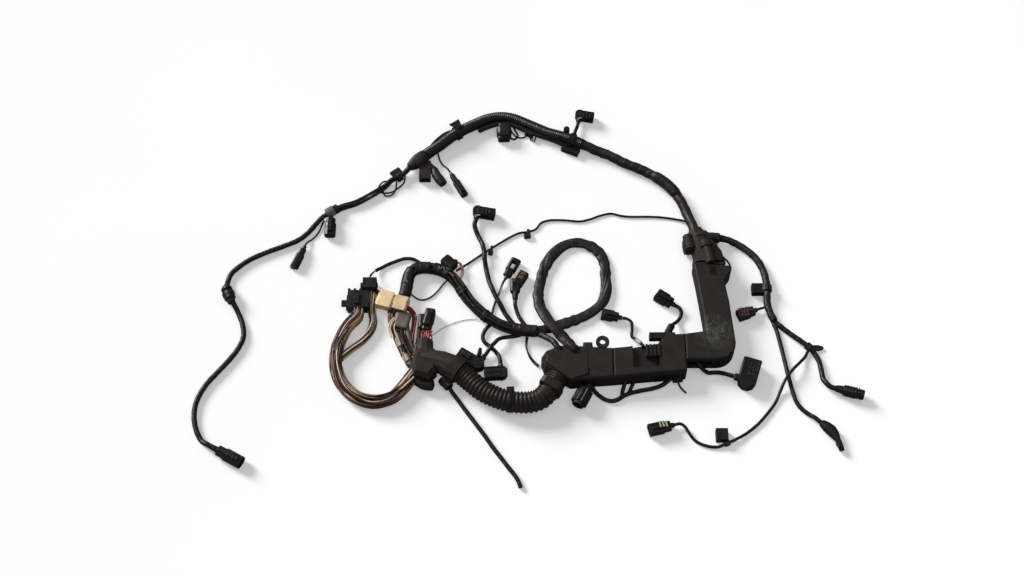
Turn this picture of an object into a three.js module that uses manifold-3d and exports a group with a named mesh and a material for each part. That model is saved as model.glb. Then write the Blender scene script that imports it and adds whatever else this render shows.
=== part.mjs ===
// Vehicle wiring harness, laid out flat: bundles, leads, connectors, a corrugated conduit and a cable duct.
// Millimetres, +Z up, +X along the harness, +Y across it. The harness rests on the plane z = 0.

import * as THREE from 'three';
import { mergeVertices } from 'three/addons/utils/BufferGeometryUtils.js';
import Module from 'manifold-3d';

const wasm = await Module();
wasm.setup();

// Clearance between pieces that touch, and the thickness of a strap
const seatGap = 0.3;
const strapWall = 1.8;

// Outer diameters of the bundles and leads
const leadLeftDiameter = 8.5;
const leftBundleDiameter = 11;
const looseWireDiameter = 3;
const loomDiameter = 20;
const tapedArcDiameter = 17;
const sideCableDiameter = 5;
const thinWireDiameter = 4;
const rightBranchDiameter = 12;
const leadIDiameter = 8.5;
const leadJDiameter = 7;
const leadGDiameter = 5;
const leadEDiameter = 7;
const leadDDiameter = 6;
const leadCDiameter = 5;
const elbowLeadDiameter = 8;
const bootLeadDiameter = 6.5;
const ringLeadDiameter = 4;
const shortLeadDiameter = 6.5;
const straightLeadDiameter = 7;
const middleBundleDiameter = 20;
const pigtailDiameter = 4;
const hookWireDiameter = 3;
const inletDiameter = 10;
const twinLeadDiameter = 5;
const colouredLoopDiameter = 19;
const strandGroupDiameter = 13;
const redWiresDiameter = 9;
const ductWiresDiameter = 15;
const underCableDiameter = 7;
const tailDiameter = 3;
const sleeveWidth = 18;
const sleeveHeight = 10;

// Cable duct
const ductHeight = 32;
const ductWall = 2;
const ductFloor = 2.5;
const trayHeight = 11;
const lidChamfer = 2;
const recessDepth = 9;
const earDiameter = 21;
const earHoleDiameter = 9;
const earThickness = 4;
const earReach = 8;

// Corrugated conduit, its cuff and the boot
const conduitDiameter = 34;
const ridgeDepth = 2;
const conduitWall = 2;
const conduitPitch = 6.3;
const cuffSize = 36;
const cuffLength = 26;
const cuffOverlap = 12;
const bootWall = 2.5;
const bootCuffLength = 13;
const bootLimbWidth = 29;
const bootLimbHeight = 26;

// Connector shells: wall, depth of the mouth and height of the latch
const shellWall = 1.8;
const mouthDepth = 9;
const latchRise = 1.5;

// Length, width and height of each connector shell
const leftPlugSize = [42, 20, 16];
const tanPlugSize = [36, 13, 12];
const oblongPlugSize = [32, 18, 14];
const slimPlugSize = [44, 12, 11];
const hangingPlugSize = [30, 20, 15];
const topElbowSize = [16, 16, 15];
const middleElbowSize = [20, 17, 16];
const ringPlugSize = [34, 17, 11];
const bootPlugSize = [24, 15, 11];
const plugCSize = [27, 17, 13];
const plugDSize = [28, 20, 14];
const plugESize = [20, 29, 20];
const plugFSize = [27, 18, 14];
const plugISize = [31, 18];
const plugGSize = [34, 18, 15];
const plugASize = [26, 20, 16];
const plugBSize = [16, 21, 14];
const ribbedPlugSize = [24, 26];
const blackPlugSize = [33, 34, 20];
const creamPlugSize = [50, 26, 18];
const tallPlugSize = [38, 16, 18];
const capPlugSize = [24, 18, 16];
const jointBlockSize = [22, 16, 14];

// Materials

function plastic(colour, roughness = 0.55) {
  return new THREE.MeshStandardMaterial({ color: colour, roughness, metalness: 0 });
}

const blackPlastic = plastic(0x1d1c1b, 0.5);
const ductPlastic = plastic(0x3b3836, 0.6);
const conduitPlastic = plastic(0x34302d, 0.55);
const bootRubber = plastic(0x45403d, 0.75);
const leadSheath = plastic(0x2a2826, 0.6);
const tapedCloth = plastic(0x33302e, 0.8);
const creamPlastic = plastic(0xd8c9a0, 0.5);
const colouredSheath = plastic(0x7a5a42, 0.6);
const framedPlastic = plastic(0x5a4644, 0.55);

// Solids and pieces

// A closed mesh as a solid: shared vertices merged, triangles without area dropped
function solid(geometry) {
  const bare = geometry.clone();
  bare.deleteAttribute('normal');
  bare.deleteAttribute('uv');
  const merged = mergeVertices(bare, 1e-3);
  const corners = merged.index.array;
  const kept = [];
  for (let i = 0; i < corners.length; i += 3) {
    const [a, b, c] = [corners[i], corners[i + 1], corners[i + 2]];
    if (a !== b && b !== c && c !== a) kept.push(a, b, c);
  }
  return new wasm.Manifold(new wasm.Mesh({
    numProp: 3,
    vertProperties: new Float32Array(merged.attributes.position.array),
    triVerts: new Uint32Array(kept),
  }));
}

function geometryOf(body) {
  const { vertProperties, triVerts } = body.getMesh();
  const geometry = new THREE.BufferGeometry();
  geometry.setAttribute('position', new THREE.BufferAttribute(vertProperties, 3));
  geometry.setIndex(new THREE.BufferAttribute(triVerts, 1));
  return geometry;
}

function union(...solids) {
  return solids.reduce((all, one) => all.add(one));
}

function cut(body, ...tools) {
  return tools.reduce((rest, tool) => rest.subtract(tool), body);
}

// The largest body of a solid that a cut may have parted
function largest(body) {
  return body.decompose().reduce((best, one) => (one.volume() > best.volume() ? one : best));
}

// A solid moved to a place: turned about Z by its heading, then shifted to its position
function moved(body, place) {
  const geometry = geometryOf(body);
  geometry.rotateZ(place.heading);
  return solid(geometry.translate(place.position.x, place.position.y, place.position.z));
}

const harness = new THREE.Group();

// Adds a solid to the harness as a named mesh, at its place if it has one
function piece(name, body, material, place = null) {
  const geometry = geometryOf(body);
  geometry.computeVertexNormals();
  const mesh = new THREE.Mesh(geometry, material);
  mesh.name = name;
  if (place) {
    mesh.position.copy(place.position);
    mesh.rotation.z = place.heading;
  }
  harness.add(mesh);
}

// Skin over a row of rings with equally many points. The ends are capped, or joined to each other.
function loft(rings, { joined = false } = {}) {
  const count = rings[0].length;
  const positions = rings.flat().flatMap((p) => [p.x, p.y, p.z]);
  const index = [];
  const rows = joined ? rings.length : rings.length - 1;
  for (let i = 0; i < rows; i += 1) {
    const lower = i * count;
    const upper = ((i + 1) % rings.length) * count;
    for (let j = 0; j < count; j += 1) {
      const next = (j + 1) % count;
      index.push(lower + j, lower + next, upper + next);
      index.push(lower + j, upper + next, upper + j);
    }
  }
  if (!joined) {
    const last = (rings.length - 1) * count;
    for (const [a, b, c] of capTriangles(rings[0])) index.push(a, c, b);
    for (const [a, b, c] of capTriangles(rings.at(-1))) index.push(last + a, last + b, last + c);
  }
  const geometry = new THREE.BufferGeometry();
  geometry.setAttribute('position', new THREE.Float32BufferAttribute(positions, 3));
  geometry.setIndex(index);
  return solid(geometry);
}

// Triangles of a flat ring, counter-clockwise as the ring is
function capTriangles(ring) {
  const normal = new THREE.Vector3();
  for (let i = 0; i < ring.length; i += 1) {
    const next = ring[(i + 1) % ring.length];
    const a = new THREE.Vector3().subVectors(ring[i], ring[0]);
    const b = new THREE.Vector3().subVectors(next, ring[0]);
    normal.add(a.cross(b));
  }
  normal.normalize();
  const side = new THREE.Vector3().subVectors(ring[1], ring[0]).normalize();
  const up = new THREE.Vector3().crossVectors(normal, side);
  const flat = ring.map((p) => new THREE.Vector2(p.dot(side), p.dot(up)));
  return THREE.ShapeUtils.triangulateShape(flat, []);
}

// Paths and tubes

// A smooth path over hand-placed points. Each point is [x, y] or [x, y, lift], and lift is the free
// height under a cable of the given thickness.
function path(points, thickness) {
  const places = points.map(([x, y, lift = 0]) => new THREE.Vector3(x, y, thickness / 2 + lift));
  return new THREE.CatmullRomCurve3(places, false, 'centripetal');
}

// Oval section, x along the height of a level tube and y along its width, with a flat side down
function ovalSection(width, height, sides) {
  const points = [];
  for (let i = 0; i < sides; i += 1) {
    const angle = (2 * Math.PI * (i + 0.5)) / sides;
    points.push(new THREE.Vector2((Math.cos(angle) * height) / 2, (Math.sin(angle) * width) / 2));
  }
  return new THREE.Shape(points);
}

// Cable: a curve with its width and height, its number of sides and a step every few widths
function cable(curve, width, { height = width, sides = 8, stride = 2.2 } = {}) {
  const steps = Math.max(1, Math.ceil(curve.getLength() / (stride * width)));
  return { curve, width, height, sides, steps };
}

// Solid of a cable, made thicker all round by a margin
function tube({ curve, width, height, sides, steps }, margin = 0) {
  const section = ovalSection(width + 2 * margin, height + 2 * margin, sides);
  return solid(new THREE.ExtrudeGeometry(section, { steps, extrudePath: curve, bevelEnabled: false }));
}


// Level ring of points round a curve: side is horizontal, up is square to it and to the curve
function ringAt(curve, share, outline) {
  const centre = curve.getPointAt(share);
  const forward = curve.getTangentAt(share);
  const side = new THREE.Vector3(-forward.y, forward.x, 0).normalize();
  const up = new THREE.Vector3().crossVectors(forward, side);
  return outline.map((p) => centre.clone().addScaledVector(side, p.x).addScaledVector(up, p.y));
}

// Outline between an oval (power 2) and a square with rounded corners (power 5)
function roundOutline(width, height, power, sides) {
  const points = [];
  for (let i = 0; i < sides; i += 1) {
    const angle = (2 * Math.PI * (i + 0.5)) / sides;
    const c = Math.cos(angle);
    const s = Math.sin(angle);
    const reach = (Math.abs(c) ** power + Math.abs(s) ** power) ** (-1 / power);
    points.push(new THREE.Vector2((c * reach * width) / 2, (s * reach * height) / 2));
  }
  return points;
}

// The space that a cable needs where it goes through, past or into a piece
function room(one) {
  const outline = roundOutline(one.width + 2 * seatGap, one.height + 2 * seatGap, 2, one.sides);
  const discs = [0, 1].map((share) => {
    const forward = one.curve.getTangentAt(share);
    const ring = ringAt(one.curve, share, outline);
    return loft([-seatGap, seatGap].map((run) => (
      ring.map((point) => point.clone().addScaledVector(forward, run))
    )));
  });
  return union(tube(one, seatGap), ...discs);
}

// Body along a curve through rows of [width, height], evenly spaced
function limb(curve, sizes, power = 2.4, sides = 12) {
  return loft(sizes.map(([width, height], i) => (
    ringAt(curve, i / (sizes.length - 1), roundOutline(width, height, power, sides))
  )));
}

function curveThrough(...points) {
  return new THREE.CatmullRomCurve3(points.map((p) => new THREE.Vector3(...p)), false, 'centripetal');
}

// Place of a piece just beyond either end of a cable
function endPlace(end, outward) {
  const flat = new THREE.Vector3(outward.x, outward.y, 0).normalize();
  return {
    position: end.clone().addScaledVector(flat, seatGap),
    heading: Math.atan2(flat.y, flat.x),
  };
}

function beyondStart({ curve }) {
  return endPlace(curve.getPointAt(0), curve.getTangentAt(0).negate());
}

function beyondEnd({ curve }) {
  return endPlace(curve.getPointAt(1), curve.getTangentAt(1));
}

// Place on a cable, at a share of its length, headed along it
function along({ curve }, share) {
  const forward = curve.getTangentAt(share);
  return { position: curve.getPointAt(share), heading: Math.atan2(forward.y, forward.x) };
}

// Share of a cable's length that lies nearest to a spot on the plane
function shareNear({ curve }, x, y) {
  const steps = 400;
  let best = 0;
  let least = Infinity;
  for (let i = 0; i <= steps; i += 1) {
    const point = curve.getPointAt(i / steps);
    const distance = Math.hypot(point.x - x, point.y - y);
    if (distance < least) [best, least] = [i / steps, distance];
  }
  return best;
}

// World point of a spot given in the axes of a place
function spotOf(place, x, y) {
  const [c, s] = [Math.cos(place.heading), Math.sin(place.heading)];
  return [place.position.x + x * c - y * s, place.position.y + x * s + y * c];
}

// Building blocks for housings, all along +X

function box([x0, y0, z0], [x1, y1, z1]) {
  const geometry = new THREE.BoxGeometry(x1 - x0, y1 - y0, z1 - z0);
  return solid(geometry.translate((x0 + x1) / 2, (y0 + y1) / 2, (z0 + z1) / 2));
}

function roundedRectangle(width, height, radius) {
  const [w, h] = [width / 2, height / 2];
  const r = Math.min(radius, w * 0.95, h * 0.95);
  const shape = new THREE.Shape();
  shape.absarc(w - r, h - r, r, 0, Math.PI / 2);
  shape.absarc(-w + r, h - r, r, Math.PI / 2, Math.PI);
  shape.absarc(-w + r, -h + r, r, Math.PI, 1.5 * Math.PI);
  shape.absarc(w - r, -h + r, r, 1.5 * Math.PI, 2 * Math.PI);
  return shape;
}

// Prism along +X from x = start with a rounded section, width along Y and height along Z
function bar(start, length, width, height, corner, chamfer = 0) {
  const geometry = new THREE.ExtrudeGeometry(roundedRectangle(height, width, corner), {
    depth: length - 2 * chamfer,
    curveSegments: 1,
    bevelEnabled: chamfer > 0,
    bevelThickness: chamfer,
    bevelSize: chamfer,
    bevelOffset: -chamfer,
    bevelSegments: 1,
  });
  geometry.translate(0, 0, chamfer);
  geometry.rotateY(Math.PI / 2);
  return solid(geometry.translate(start, 0, 0));
}

// Turned body along +X. The profile lists [x, radius] and starts and ends on the axis.
function turned(profile, sides = 12) {
  const points = profile.map(([x, radius]) => new THREE.Vector2(radius, x));
  return solid(new THREE.LatheGeometry(points, sides).rotateZ(-Math.PI / 2));
}

function collarOf(length, diameter) {
  const radius = diameter / 2;
  return turned([[0, 0], [0, radius * 0.85], [2, radius], [length + 1, radius], [length + 1, 0]], 8);
}

// Thumb latch over the top of a housing: a lever on a rear post, with a catch in front
function latch(x0, x1, width, top) {
  const lever = [top + latchRise, top + latchRise + 1.5];
  return union(
    box([x0, -width / 2, top - 0.5], [x0 + 3, width / 2, lever[1]]),
    box([x0 + 1, -width / 2, lever[0]], [x1, width / 2, lever[1]]),
    box([x1 - 3, -width / 2, top - 0.5], [x1, width / 2, lever[1]]),
  );
}

// Open mouth of a shell with a keying rib, cut back from x = front
function openMouth(body, front, width, height, corner) {
  const inner = [width - 2 * shellWall, height - 2 * shellWall];
  const hollow = bar(front - mouthDepth, mouthDepth + 1, inner[0], inner[1], Math.max(1, corner - 1));
  const key = box(
    [front - mouthDepth - 0.5, inner[0] / 2 - 1.2, -1],
    [front - 2.5, inner[0] / 2 + 0.6, 1],
  );
  return cut(body, hollow).add(key);
}

// Boxy connector: cable collar, shoulder, shell, open mouth, ribs and latch. The cable enters at the origin.
function boxPlug([length, width, height], options = {}) {
  const {
    collarLength = 6,
    collarDiameter = height * 0.6,
    shoulder = 0.32,
    corner = 3,
    open = true,
    latchWidth = width * 0.35,
    ribs = 2,
  } = options;
  const front = collarLength + length;
  const waist = collarLength + length * shoulder;
  const parts = [
    collarOf(collarLength, collarDiameter),
    bar(collarLength, length * shoulder + 1, width - 3, height - 2, corner),
    bar(waist, front - waist, width, height, corner),
  ];
  for (let i = 0; i < ribs; i += 1) {
    const y = ribs > 1 ? (i / (ribs - 1) - 0.5) * (width - 2 * corner) : 0;
    parts.push(box([waist - 2, y - 0.7, 0], [front - 3, y + 0.7, height / 2 + 0.8]));
  }
  if (latchWidth > 0) parts.push(latch(collarLength + 2, front - 5, latchWidth, height / 2));
  const body = union(...parts);
  return open ? openMouth(body, front, width, height, corner) : body;
}

// Elbow connector: the cable enters along +X, the shell leaves square to it, to the left (1) or right (-1)
function elbowPlug([length, width, height], handed, options = {}) {
  const { collarLength = 6, collarDiameter = height * 0.6, open = true, ribs = 3 } = options;
  const centre = collarLength + width / 2;
  const front = width / 2 + length;
  const corner = 3;
  const parts = [bar(0, front, width, height, corner), hub(width, height)];
  for (let i = 0; i < ribs; i += 1) {
    const y = ribs > 1 ? (i / (ribs - 1) - 0.5) * (width - 2 * corner) : 0;
    parts.push(box([2, y - 0.7, 0], [front - 3, y + 0.7, height / 2 + 0.8]));
  }
  let shell = union(...parts);
  if (open) shell = openMouth(shell, front, width, height, corner);
  const turn = { position: new THREE.Vector3(centre, 0, 0), heading: (handed * Math.PI) / 2 };
  return union(collarOf(centre - 1, collarDiameter), moved(shell, turn));
}

// Round upright hub at the bend of an elbow connector
function hub(width, height) {
  const geometry = new THREE.CylinderGeometry(width / 2, width / 2, height - 0.6, 10);
  return solid(geometry.rotateX(Math.PI / 2));
}

// Solid round stub for a strap, to be bored by the cable that it goes round
function strap(diameter, length) {
  const outer = diameter / 2 + seatGap + strapWall;
  return turned([[-length / 2, 0], [-length / 2, outer], [length / 2, outer], [length / 2, 0]]);
}

// Routes of the cables

// Free height under a cable where a strap goes round it, and where it enters a housing at mid height
const strapLift = seatGap + strapWall;

function axisLift(height, diameter) {
  return (height - diameter) / 2;
}

const grommetRadius = 10;
const leftLift = axisLift(leftPlugSize[2], leadLeftDiameter);
const grommetLift = grommetRadius - leadLeftDiameter / 2;
const leadLeft = cable(path([
  [-475, -279, leftLift], [-484, -274, leftLift], [-493, -267], [-501, -254], [-508, -232], [-509, -210],
  [-505, -192], [-495, -171], [-481, -152], [-466, -132], [-453, -111], [-446, -89], [-449, -68],
  [-458, -46], [-467, -30, grommetLift], [-475, -16, grommetLift], [-479, -2, grommetLift], [-480, 10],
  [-476, 25], [-463, 40], [-445, 54], [-420, 67], [-395, 78], [-373, 89], [-358, 103], [-346, 120],
  [-336, 132, strapLift], [-327.2, 138.6, strapLift],
], leadLeftDiameter), leadLeftDiameter, { stride: 2.4 });

const bundleLeft = cable(path([
  [-326.2, 139.4, strapLift], [-318, 145, strapLift], [-303, 154], [-284, 160], [-265, 170], [-250, 180],
  [-236, 191], [-226, 202, strapLift], [-213, 211, strapLift], [-203, 220, 4], [-196, 228, 6],
], leftBundleDiameter), leftBundleDiameter, { stride: 1.5 });

const looseWire = cable(path([
  [-246, 184, 3], [-237, 183], [-226, 184], [-215, 192], [-205, 204], [-203, 219, 7],
], looseWireDiameter), looseWireDiameter, { sides: 6 });

const loom = cable(path([
  [-171, 251, 2], [-163, 260], [-146, 274], [-126, 291, strapLift], [-106, 305, strapLift], [-86, 318],
  [-66, 328], [-45, 332], [-25, 329], [-5, 320], [16, 309], [36, 299], [56, 291, strapLift],
  [76, 283, strapLift], [93, 274, strapLift],
], loomDiameter), loomDiameter, { sides: 10, stride: 0.9 });

const sideCable = cable(path([
  [-167, 262, 6], [-160, 277, 4], [-149, 291, 4], [-135, 302, 5], [-116, 305, 8],
], sideCableDiameter), sideCableDiameter);

const tapedArc = cable(path([
  [88, 277, strapLift + 1.5], [104, 270, 2], [115, 265], [140, 253], [164, 238], [189, 226], [210, 213],
  [229, 197], [245, 178], [255, 158], [262, 137], [268, 117, 3], [272, 101, 5],
], tapedArcDiameter), tapedArcDiameter, { stride: 1.3 });

const thinWire = cable(path([
  [266, 121, 6], [259, 126, 2], [243, 131], [218, 135], [194, 136], [169, 136], [153, 138], [138, 142],
  [120, 138], [103, 131], [87, 127], [62, 129], [37, 129], [23, 124], [14, 112], [3, 107],
  [-14, 104], [-36, 91], [-57, 76], [-77, 61], [-96, 46], [-106, 37, 3], [-114, 28, 8],
], thinWireDiameter), thinWireDiameter, { stride: 3 });

const branchRight = cable(path([
  [312, 88, 6], [324, 87, 3], [342, 79], [358, 66], [370, 51], [378, 32], [381, 11, strapLift],
  [381, -9, strapLift], [380, -29], [383, -47], [388, -61],
], rightBranchDiameter), rightBranchDiameter, { stride: 1.4 });

const plugILift = axisLift(plugISize[1], leadIDiameter);
const leadI = cable(path([
  [389, -62], [398, -71], [411, -83], [426, -97, strapLift], [438, -108, strapLift],
  [447, -120], [452, -133], [454, -150], [455, -163, 1], [459, -173, plugILift], [465, -179, plugILift],
  [472, -181, plugILift],
], leadIDiameter), leadIDiameter, { stride: 1.6 });

const jointLift = axisLift(jointBlockSize[2], leadJDiameter);
const leadJ = cable(path([
  [386, -60], [391, -78], [395, -103], [399, -133], [402, -156], [406, -182], [411, -203],
  [418, -214], [427, -222], [436, -230, jointLift], [444, -238, jointLift],
], leadJDiameter), leadJDiameter);

const overLeadJ = leadJDiameter + 1.5;
const plugGLift = axisLift(plugGSize[2], leadGDiameter);
const leadG = cable(path([
  [438, -111, 2], [431, -124, 1], [422, -135, 5], [411, -147, overLeadJ], [402, -158, overLeadJ],
  [394, -170, overLeadJ], [387, -184, 3], [379, -201], [365, -220], [349, -238], [331, -253],
  [314, -264, strapLift], [299, -271, strapLift], [285, -276], [267, -274], [252, -266],
  [243, -255, 3], [237, -245, plugGLift], [229.5, -240, plugGLift], [221, -242, plugGLift],
], leadGDiameter), leadGDiameter);

const slotHeight = 17;
const plugELift = axisLift(plugESize[2], leadEDiameter);
const leadE = cable(path([
  [258, -136, slotHeight - leadEDiameter / 2], [263, -143.5, slotHeight - leadEDiameter / 2], [270, -150, 8],
  [279, -152, 1], [290, -151], [299, -153, 2], [308, -158, plugELift], [317, -161, plugELift],
], leadEDiameter), leadEDiameter, { stride: 1.4 });

const sleeveHeightD = 19;
const plugDLift = axisLift(plugDSize[2], leadDDiameter);
const leadD = cable(path([
  [219.5, -86, sleeveHeightD - leadDDiameter / 2], [223, -79, sleeveHeightD - leadDDiameter / 2],
  [229, -70, 9], [236, -61, 1], [241, -53], [243, -46, 2], [240, -39, plugDLift], [233, -34, plugDLift],
], leadDDiameter), leadDDiameter, { stride: 1.4 });

const recessFloor = ductHeight - recessDepth;
const plugCLift = axisLift(plugCSize[2], leadCDiameter);
const leadC = cable(path([
  [181, -120, recessFloor + 1], [174, -112, recessFloor + 1], [167, -102, 18], [163, -91, 5], [163, -82],
  [164, -73, 1], [163, -64, plugCLift], [156, -58, plugCLift], [149, -56.5, plugCLift],
], leadCDiameter), leadCDiameter, { stride: 1.6 });

const overThinWire = thinWireDiameter + 0.8;
const overRingLead = ringLeadDiameter + 0.8;
const middleElbowLift = axisLift(middleElbowSize[2], elbowLeadDiameter);
const elbowLead = cable(path([
  [-84, 127, middleElbowLift], [-86, 117, middleElbowLift], [-83, 105, 1], [-78, 93],
  [-73, 79, overThinWire],
  [-70, 65, overThinWire], [-69, 51, overThinWire], [-67, 38], [-65, 27], [-62, 13], [-57, -3, overRingLead],
  [-51, -18, overRingLead], [-44, -32, overRingLead], [-37, -45], [-29, -58], [-19, -71],
], elbowLeadDiameter), elbowLeadDiameter, { stride: 1.8 });

const ringPlugLift = axisLift(ringPlugSize[2], ringLeadDiameter);
const ringLead = cable(path([
  [-36, 15, ringPlugLift], [-40, 7, ringPlugLift], [-44, -5], [-49, -18], [-53, -30], [-56, -43],
  [-57, -56], [-54, -66],
], ringLeadDiameter), ringLeadDiameter);

const bootPlugLift = axisLift(bootPlugSize[2], bootLeadDiameter);
const bootLead = cable(path([
  [-20, -22, bootPlugLift], [-20, -31, bootPlugLift], [-17, -44], [-12, -56], [-4, -68], [4, -79],
], bootLeadDiameter), bootLeadDiameter, { stride: 1.6 });

// Cream connector: where its middle lies on the plane, and its heading
const creamPlace = { position: new THREE.Vector3(-214, -30, creamPlugSize[2] / 2), heading: -0.27 };
const creamBack = creamPlugSize[1] / 2 + seatGap;
const creamRight = creamPlugSize[0] / 2 + seatGap;

const middleBundle = cable(path([
  [...spotOf(creamPlace, 14, creamBack)], [...spotOf(creamPlace, 14, creamBack + 12)],
  [-191, 12], [-187, 25],
  [-177, 32], [-164, 34], [-148, 32], [-135, 27], [-123, 18], [-113, 5], [-103, -11], [-92, -28],
  [-76, -46], [-60, -60], [-41, -71], [-20, -78], [0, -81], [14, -82],
], middleBundleDiameter), middleBundleDiameter, { stride: 1 });

const towerTop = 24;
const towerBack = 8;
const pigtail = cable(path([
  [-251, towerBack + seatGap, towerTop - 9], [-251, 15, towerTop - 9], [-243, 31, 4], [-230, 41], [-212, 50],
  [-198, 55], [-185, 54], [-172, 46], [-160, 37, 2],
], pigtailDiameter), pigtailDiameter, { stride: 3 });

const hookWire = cable(path([
  [-190, -8, 6], [-181, -16, 2], [-170, -21], [-156, -17], [-144, -5], [-135, 8], [-126, 17, 2],
], hookWireDiameter), hookWireDiameter, { sides: 6 });

const inletLift = ductHeight - 13;
const smallInlet = cable(path([
  [6, -82, 2], [18, -88, 6], [30, -97, inletLift - 8], [40, -109, inletLift], [46, -119, inletLift],
  [51, -128, inletLift],
], inletDiameter), inletDiameter, { stride: 1.2 });

const overSleeve = sleeveHeight + 1.5;
const loopSleeve = cable(path([
  [74, -127, ductHeight - 19], [69, -118, ductHeight - 19], [63, -108, ductHeight - 19],
  [54, -96, overSleeve],
  [44, -84, overSleeve + 2], [34, -71, overSleeve + 2], [26, -56, overSleeve], [20, -38, 3], [17, -16],
  [21, 12], [28, 38], [41, 61], [59, 78], [80, 84], [101, 78], [116, 65], [124, 44], [125, 18],
  [125, -6], [118, -28], [102, -44], [82, -56], [60, -65], [42, -71], [28, -76, 1], [14, -80, 3],
], sleeveHeight), sleeveWidth, { height: sleeveHeight, stride: 0.9 });

const twinLead = cable(path([
  [0, -84, 6], [-2, -96], [-2, -108], [2, -121], [8, -131], [16.5, -140],
], twinLeadDiameter), twinLeadDiameter);

const overShortLead = shortLeadDiameter + 0.8;
const plugALift = axisLift(plugASize[2], shortLeadDiameter);
const leadA = cable(path([
  [-6, -83], [-19, -87], [-33, -90, 2], [-45, -96, overShortLead], [-53, -104, overShortLead],
  [-59, -112, overShortLead], [-64, -119, plugALift], [-68.5, -126, plugALift],
], shortLeadDiameter), shortLeadDiameter, { stride: 1.4 });

const plugBLift = axisLift(plugBSize[2], shortLeadDiameter);
const leadB = cable(path([
  [-57, -64], [-67, -76], [-71, -88], [-68, -98], [-60, -105], [-52, -113], [-46, -122, 1],
  [-43.5, -130, plugBLift], [-43, -137, plugBLift],
], shortLeadDiameter), shortLeadDiameter, { stride: 1.2 });

const blackFront = -44;
const colouredLoop = cable(path([
  [-268, blackFront - seatGap, 0.5], [-268.6, -55, 0.5], [-282, -72], [-291, -90],
  [-297, -110], [-298, -132],
  [-294, -155], [-284, -177], [-270, -192], [-251, -202], [-230, -204], [-210, -197], [-195, -183],
  [-183, -167], [-171, -153, 4], [-156, -144, 8], [-136, -143, 9.5], [-124, -147, 9.5], [-110, -155, 9.5],
], colouredLoopDiameter), colouredLoopDiameter, { stride: 1.1 });

const towerFront = -10;
const strandGroup = cable(path([
  [-246.6, towerFront - seatGap, 3], [-246.6, -22, 3], [-246, -44], [-243, -64], [-248, -82], [-260, -98],
  [-274, -111, 1], [-291, -129, 2],
], strandGroupDiameter), strandGroupDiameter, { stride: 1.1 });

const creamWires = cable(path([
  [...spotOf(creamPlace, 4, -creamBack), 2], [...spotOf(creamPlace, 4, -creamBack - 9), 2], [-213, -70],
  [-206, -88], [-198, -108], [-189, -127], [-178, -144, 3], [-163, -149, 7],
], strandGroupDiameter), strandGroupDiameter, { stride: 1.3 });

const redWires = cable(path([
  [...spotOf(creamPlace, creamRight, -2), 4], [...spotOf(creamPlace, creamRight + 6, -4), 3], [-179, -50],
  [-179, -64], [-181, -84], [-182, -106], [-178, -126, 3], [-166, -142, 9],
], redWiresDiameter), redWiresDiameter, { stride: 1.3 });

const underCable = cable(path([
  [98, -174.5, 2], [101, -182], [110, -192], [119, -198], [129, -200], [138, -197], [147, -191],
  [159, -186], [175, -182], [190, -179], [206, -173], [222, -161, 2],
], underCableDiameter), underCableDiameter);

const straightLead = cable(path([
  [-121, -180, 6], [-117, -186, 3], [-108, -198], [-95, -217], [-81, -237], [-67, -257], [-54, -277],
  [-41, -295], [-31, -309], [-22, -321], [-16, -331], [-12, -342],
], straightLeadDiameter), straightLeadDiameter, { stride: 2.6 });

// Outlines of the duct's covers, counter-clockwise from above

const armRight = 321;
const cornerFront = -142;
const cornerRadius = 30;
const stepX = 243;
const seamX = 131;
const lowerFront = -161;
const lowerBack = -97;
const recessLeft = 158;
const recessRight = 206;
const endFront = -175;
const endBack = -120;
const tabReach = 8;

function arc(x, y, radius, from, to, steps) {
  const points = [];
  for (let i = 0; i <= steps; i += 1) {
    const angle = from + ((to - from) * i) / steps;
    points.push([x + Math.cos(angle) * radius, y + Math.sin(angle) * radius]);
  }
  return points;
}

const outerCorner = arc(
  armRight - cornerRadius, cornerFront + cornerRadius, cornerRadius, -Math.PI / 2, 0, 6,
);
const armOutline = [
  ...outerCorner, [armRight - 5, -40], [armRight - 10, -2], [armRight + 2, 15], [armRight, 26],
  [264, 30], [268, 0], [273, -50], [277, -92],
];
const cornerOutline = [[stepX, cornerFront], ...armOutline, [stepX, lowerBack]];
const backOutline = [
  [stepX, lowerBack], [recessRight, lowerBack - 2], [recessRight, lowerBack - 13],
  [recessLeft, endBack + 1], [seamX, endBack - 2],
];
const lowerOutline = [[seamX, endFront + 3], [stepX, lowerFront], ...backOutline];
const endFaceLeft = [25, -154];
const endFaceRight = [65, -178];
const endLeftOutline = [[50, -118], [28, -127], [20, -139], endFaceLeft, endFaceRight, [92, endFront]];
const endOutline = [
  [seamX, endFront + 3], [seamX, endBack - 2], [100, endBack], [99, endBack + tabReach],
  [85, endBack + tabReach], [84, endBack + 1], ...endLeftOutline,
];
const trayOutline = [
  [stepX, cornerFront], ...armOutline, ...backOutline, [100, endBack], ...endLeftOutline,
  [seamX, endFront + 3], [stepX, lowerFront],
];

// Conduit axis: out of the boot, round the bend and square into the end face of the duct
const faceCentre = [(endFaceLeft[0] + endFaceRight[0]) / 2, (endFaceLeft[1] + endFaceRight[1]) / 2];
const faceHeading = Math.atan2(endFaceRight[0] - endFaceLeft[0], endFaceLeft[1] - endFaceRight[1]);
const cuffRest = (cuffSize - conduitDiameter) / 2 - seatGap;

function beforeFace(distance) {
  return [
    faceCentre[0] - distance * Math.cos(faceHeading),
    faceCentre[1] - distance * Math.sin(faceHeading),
    cuffRest,
  ];
}

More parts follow.
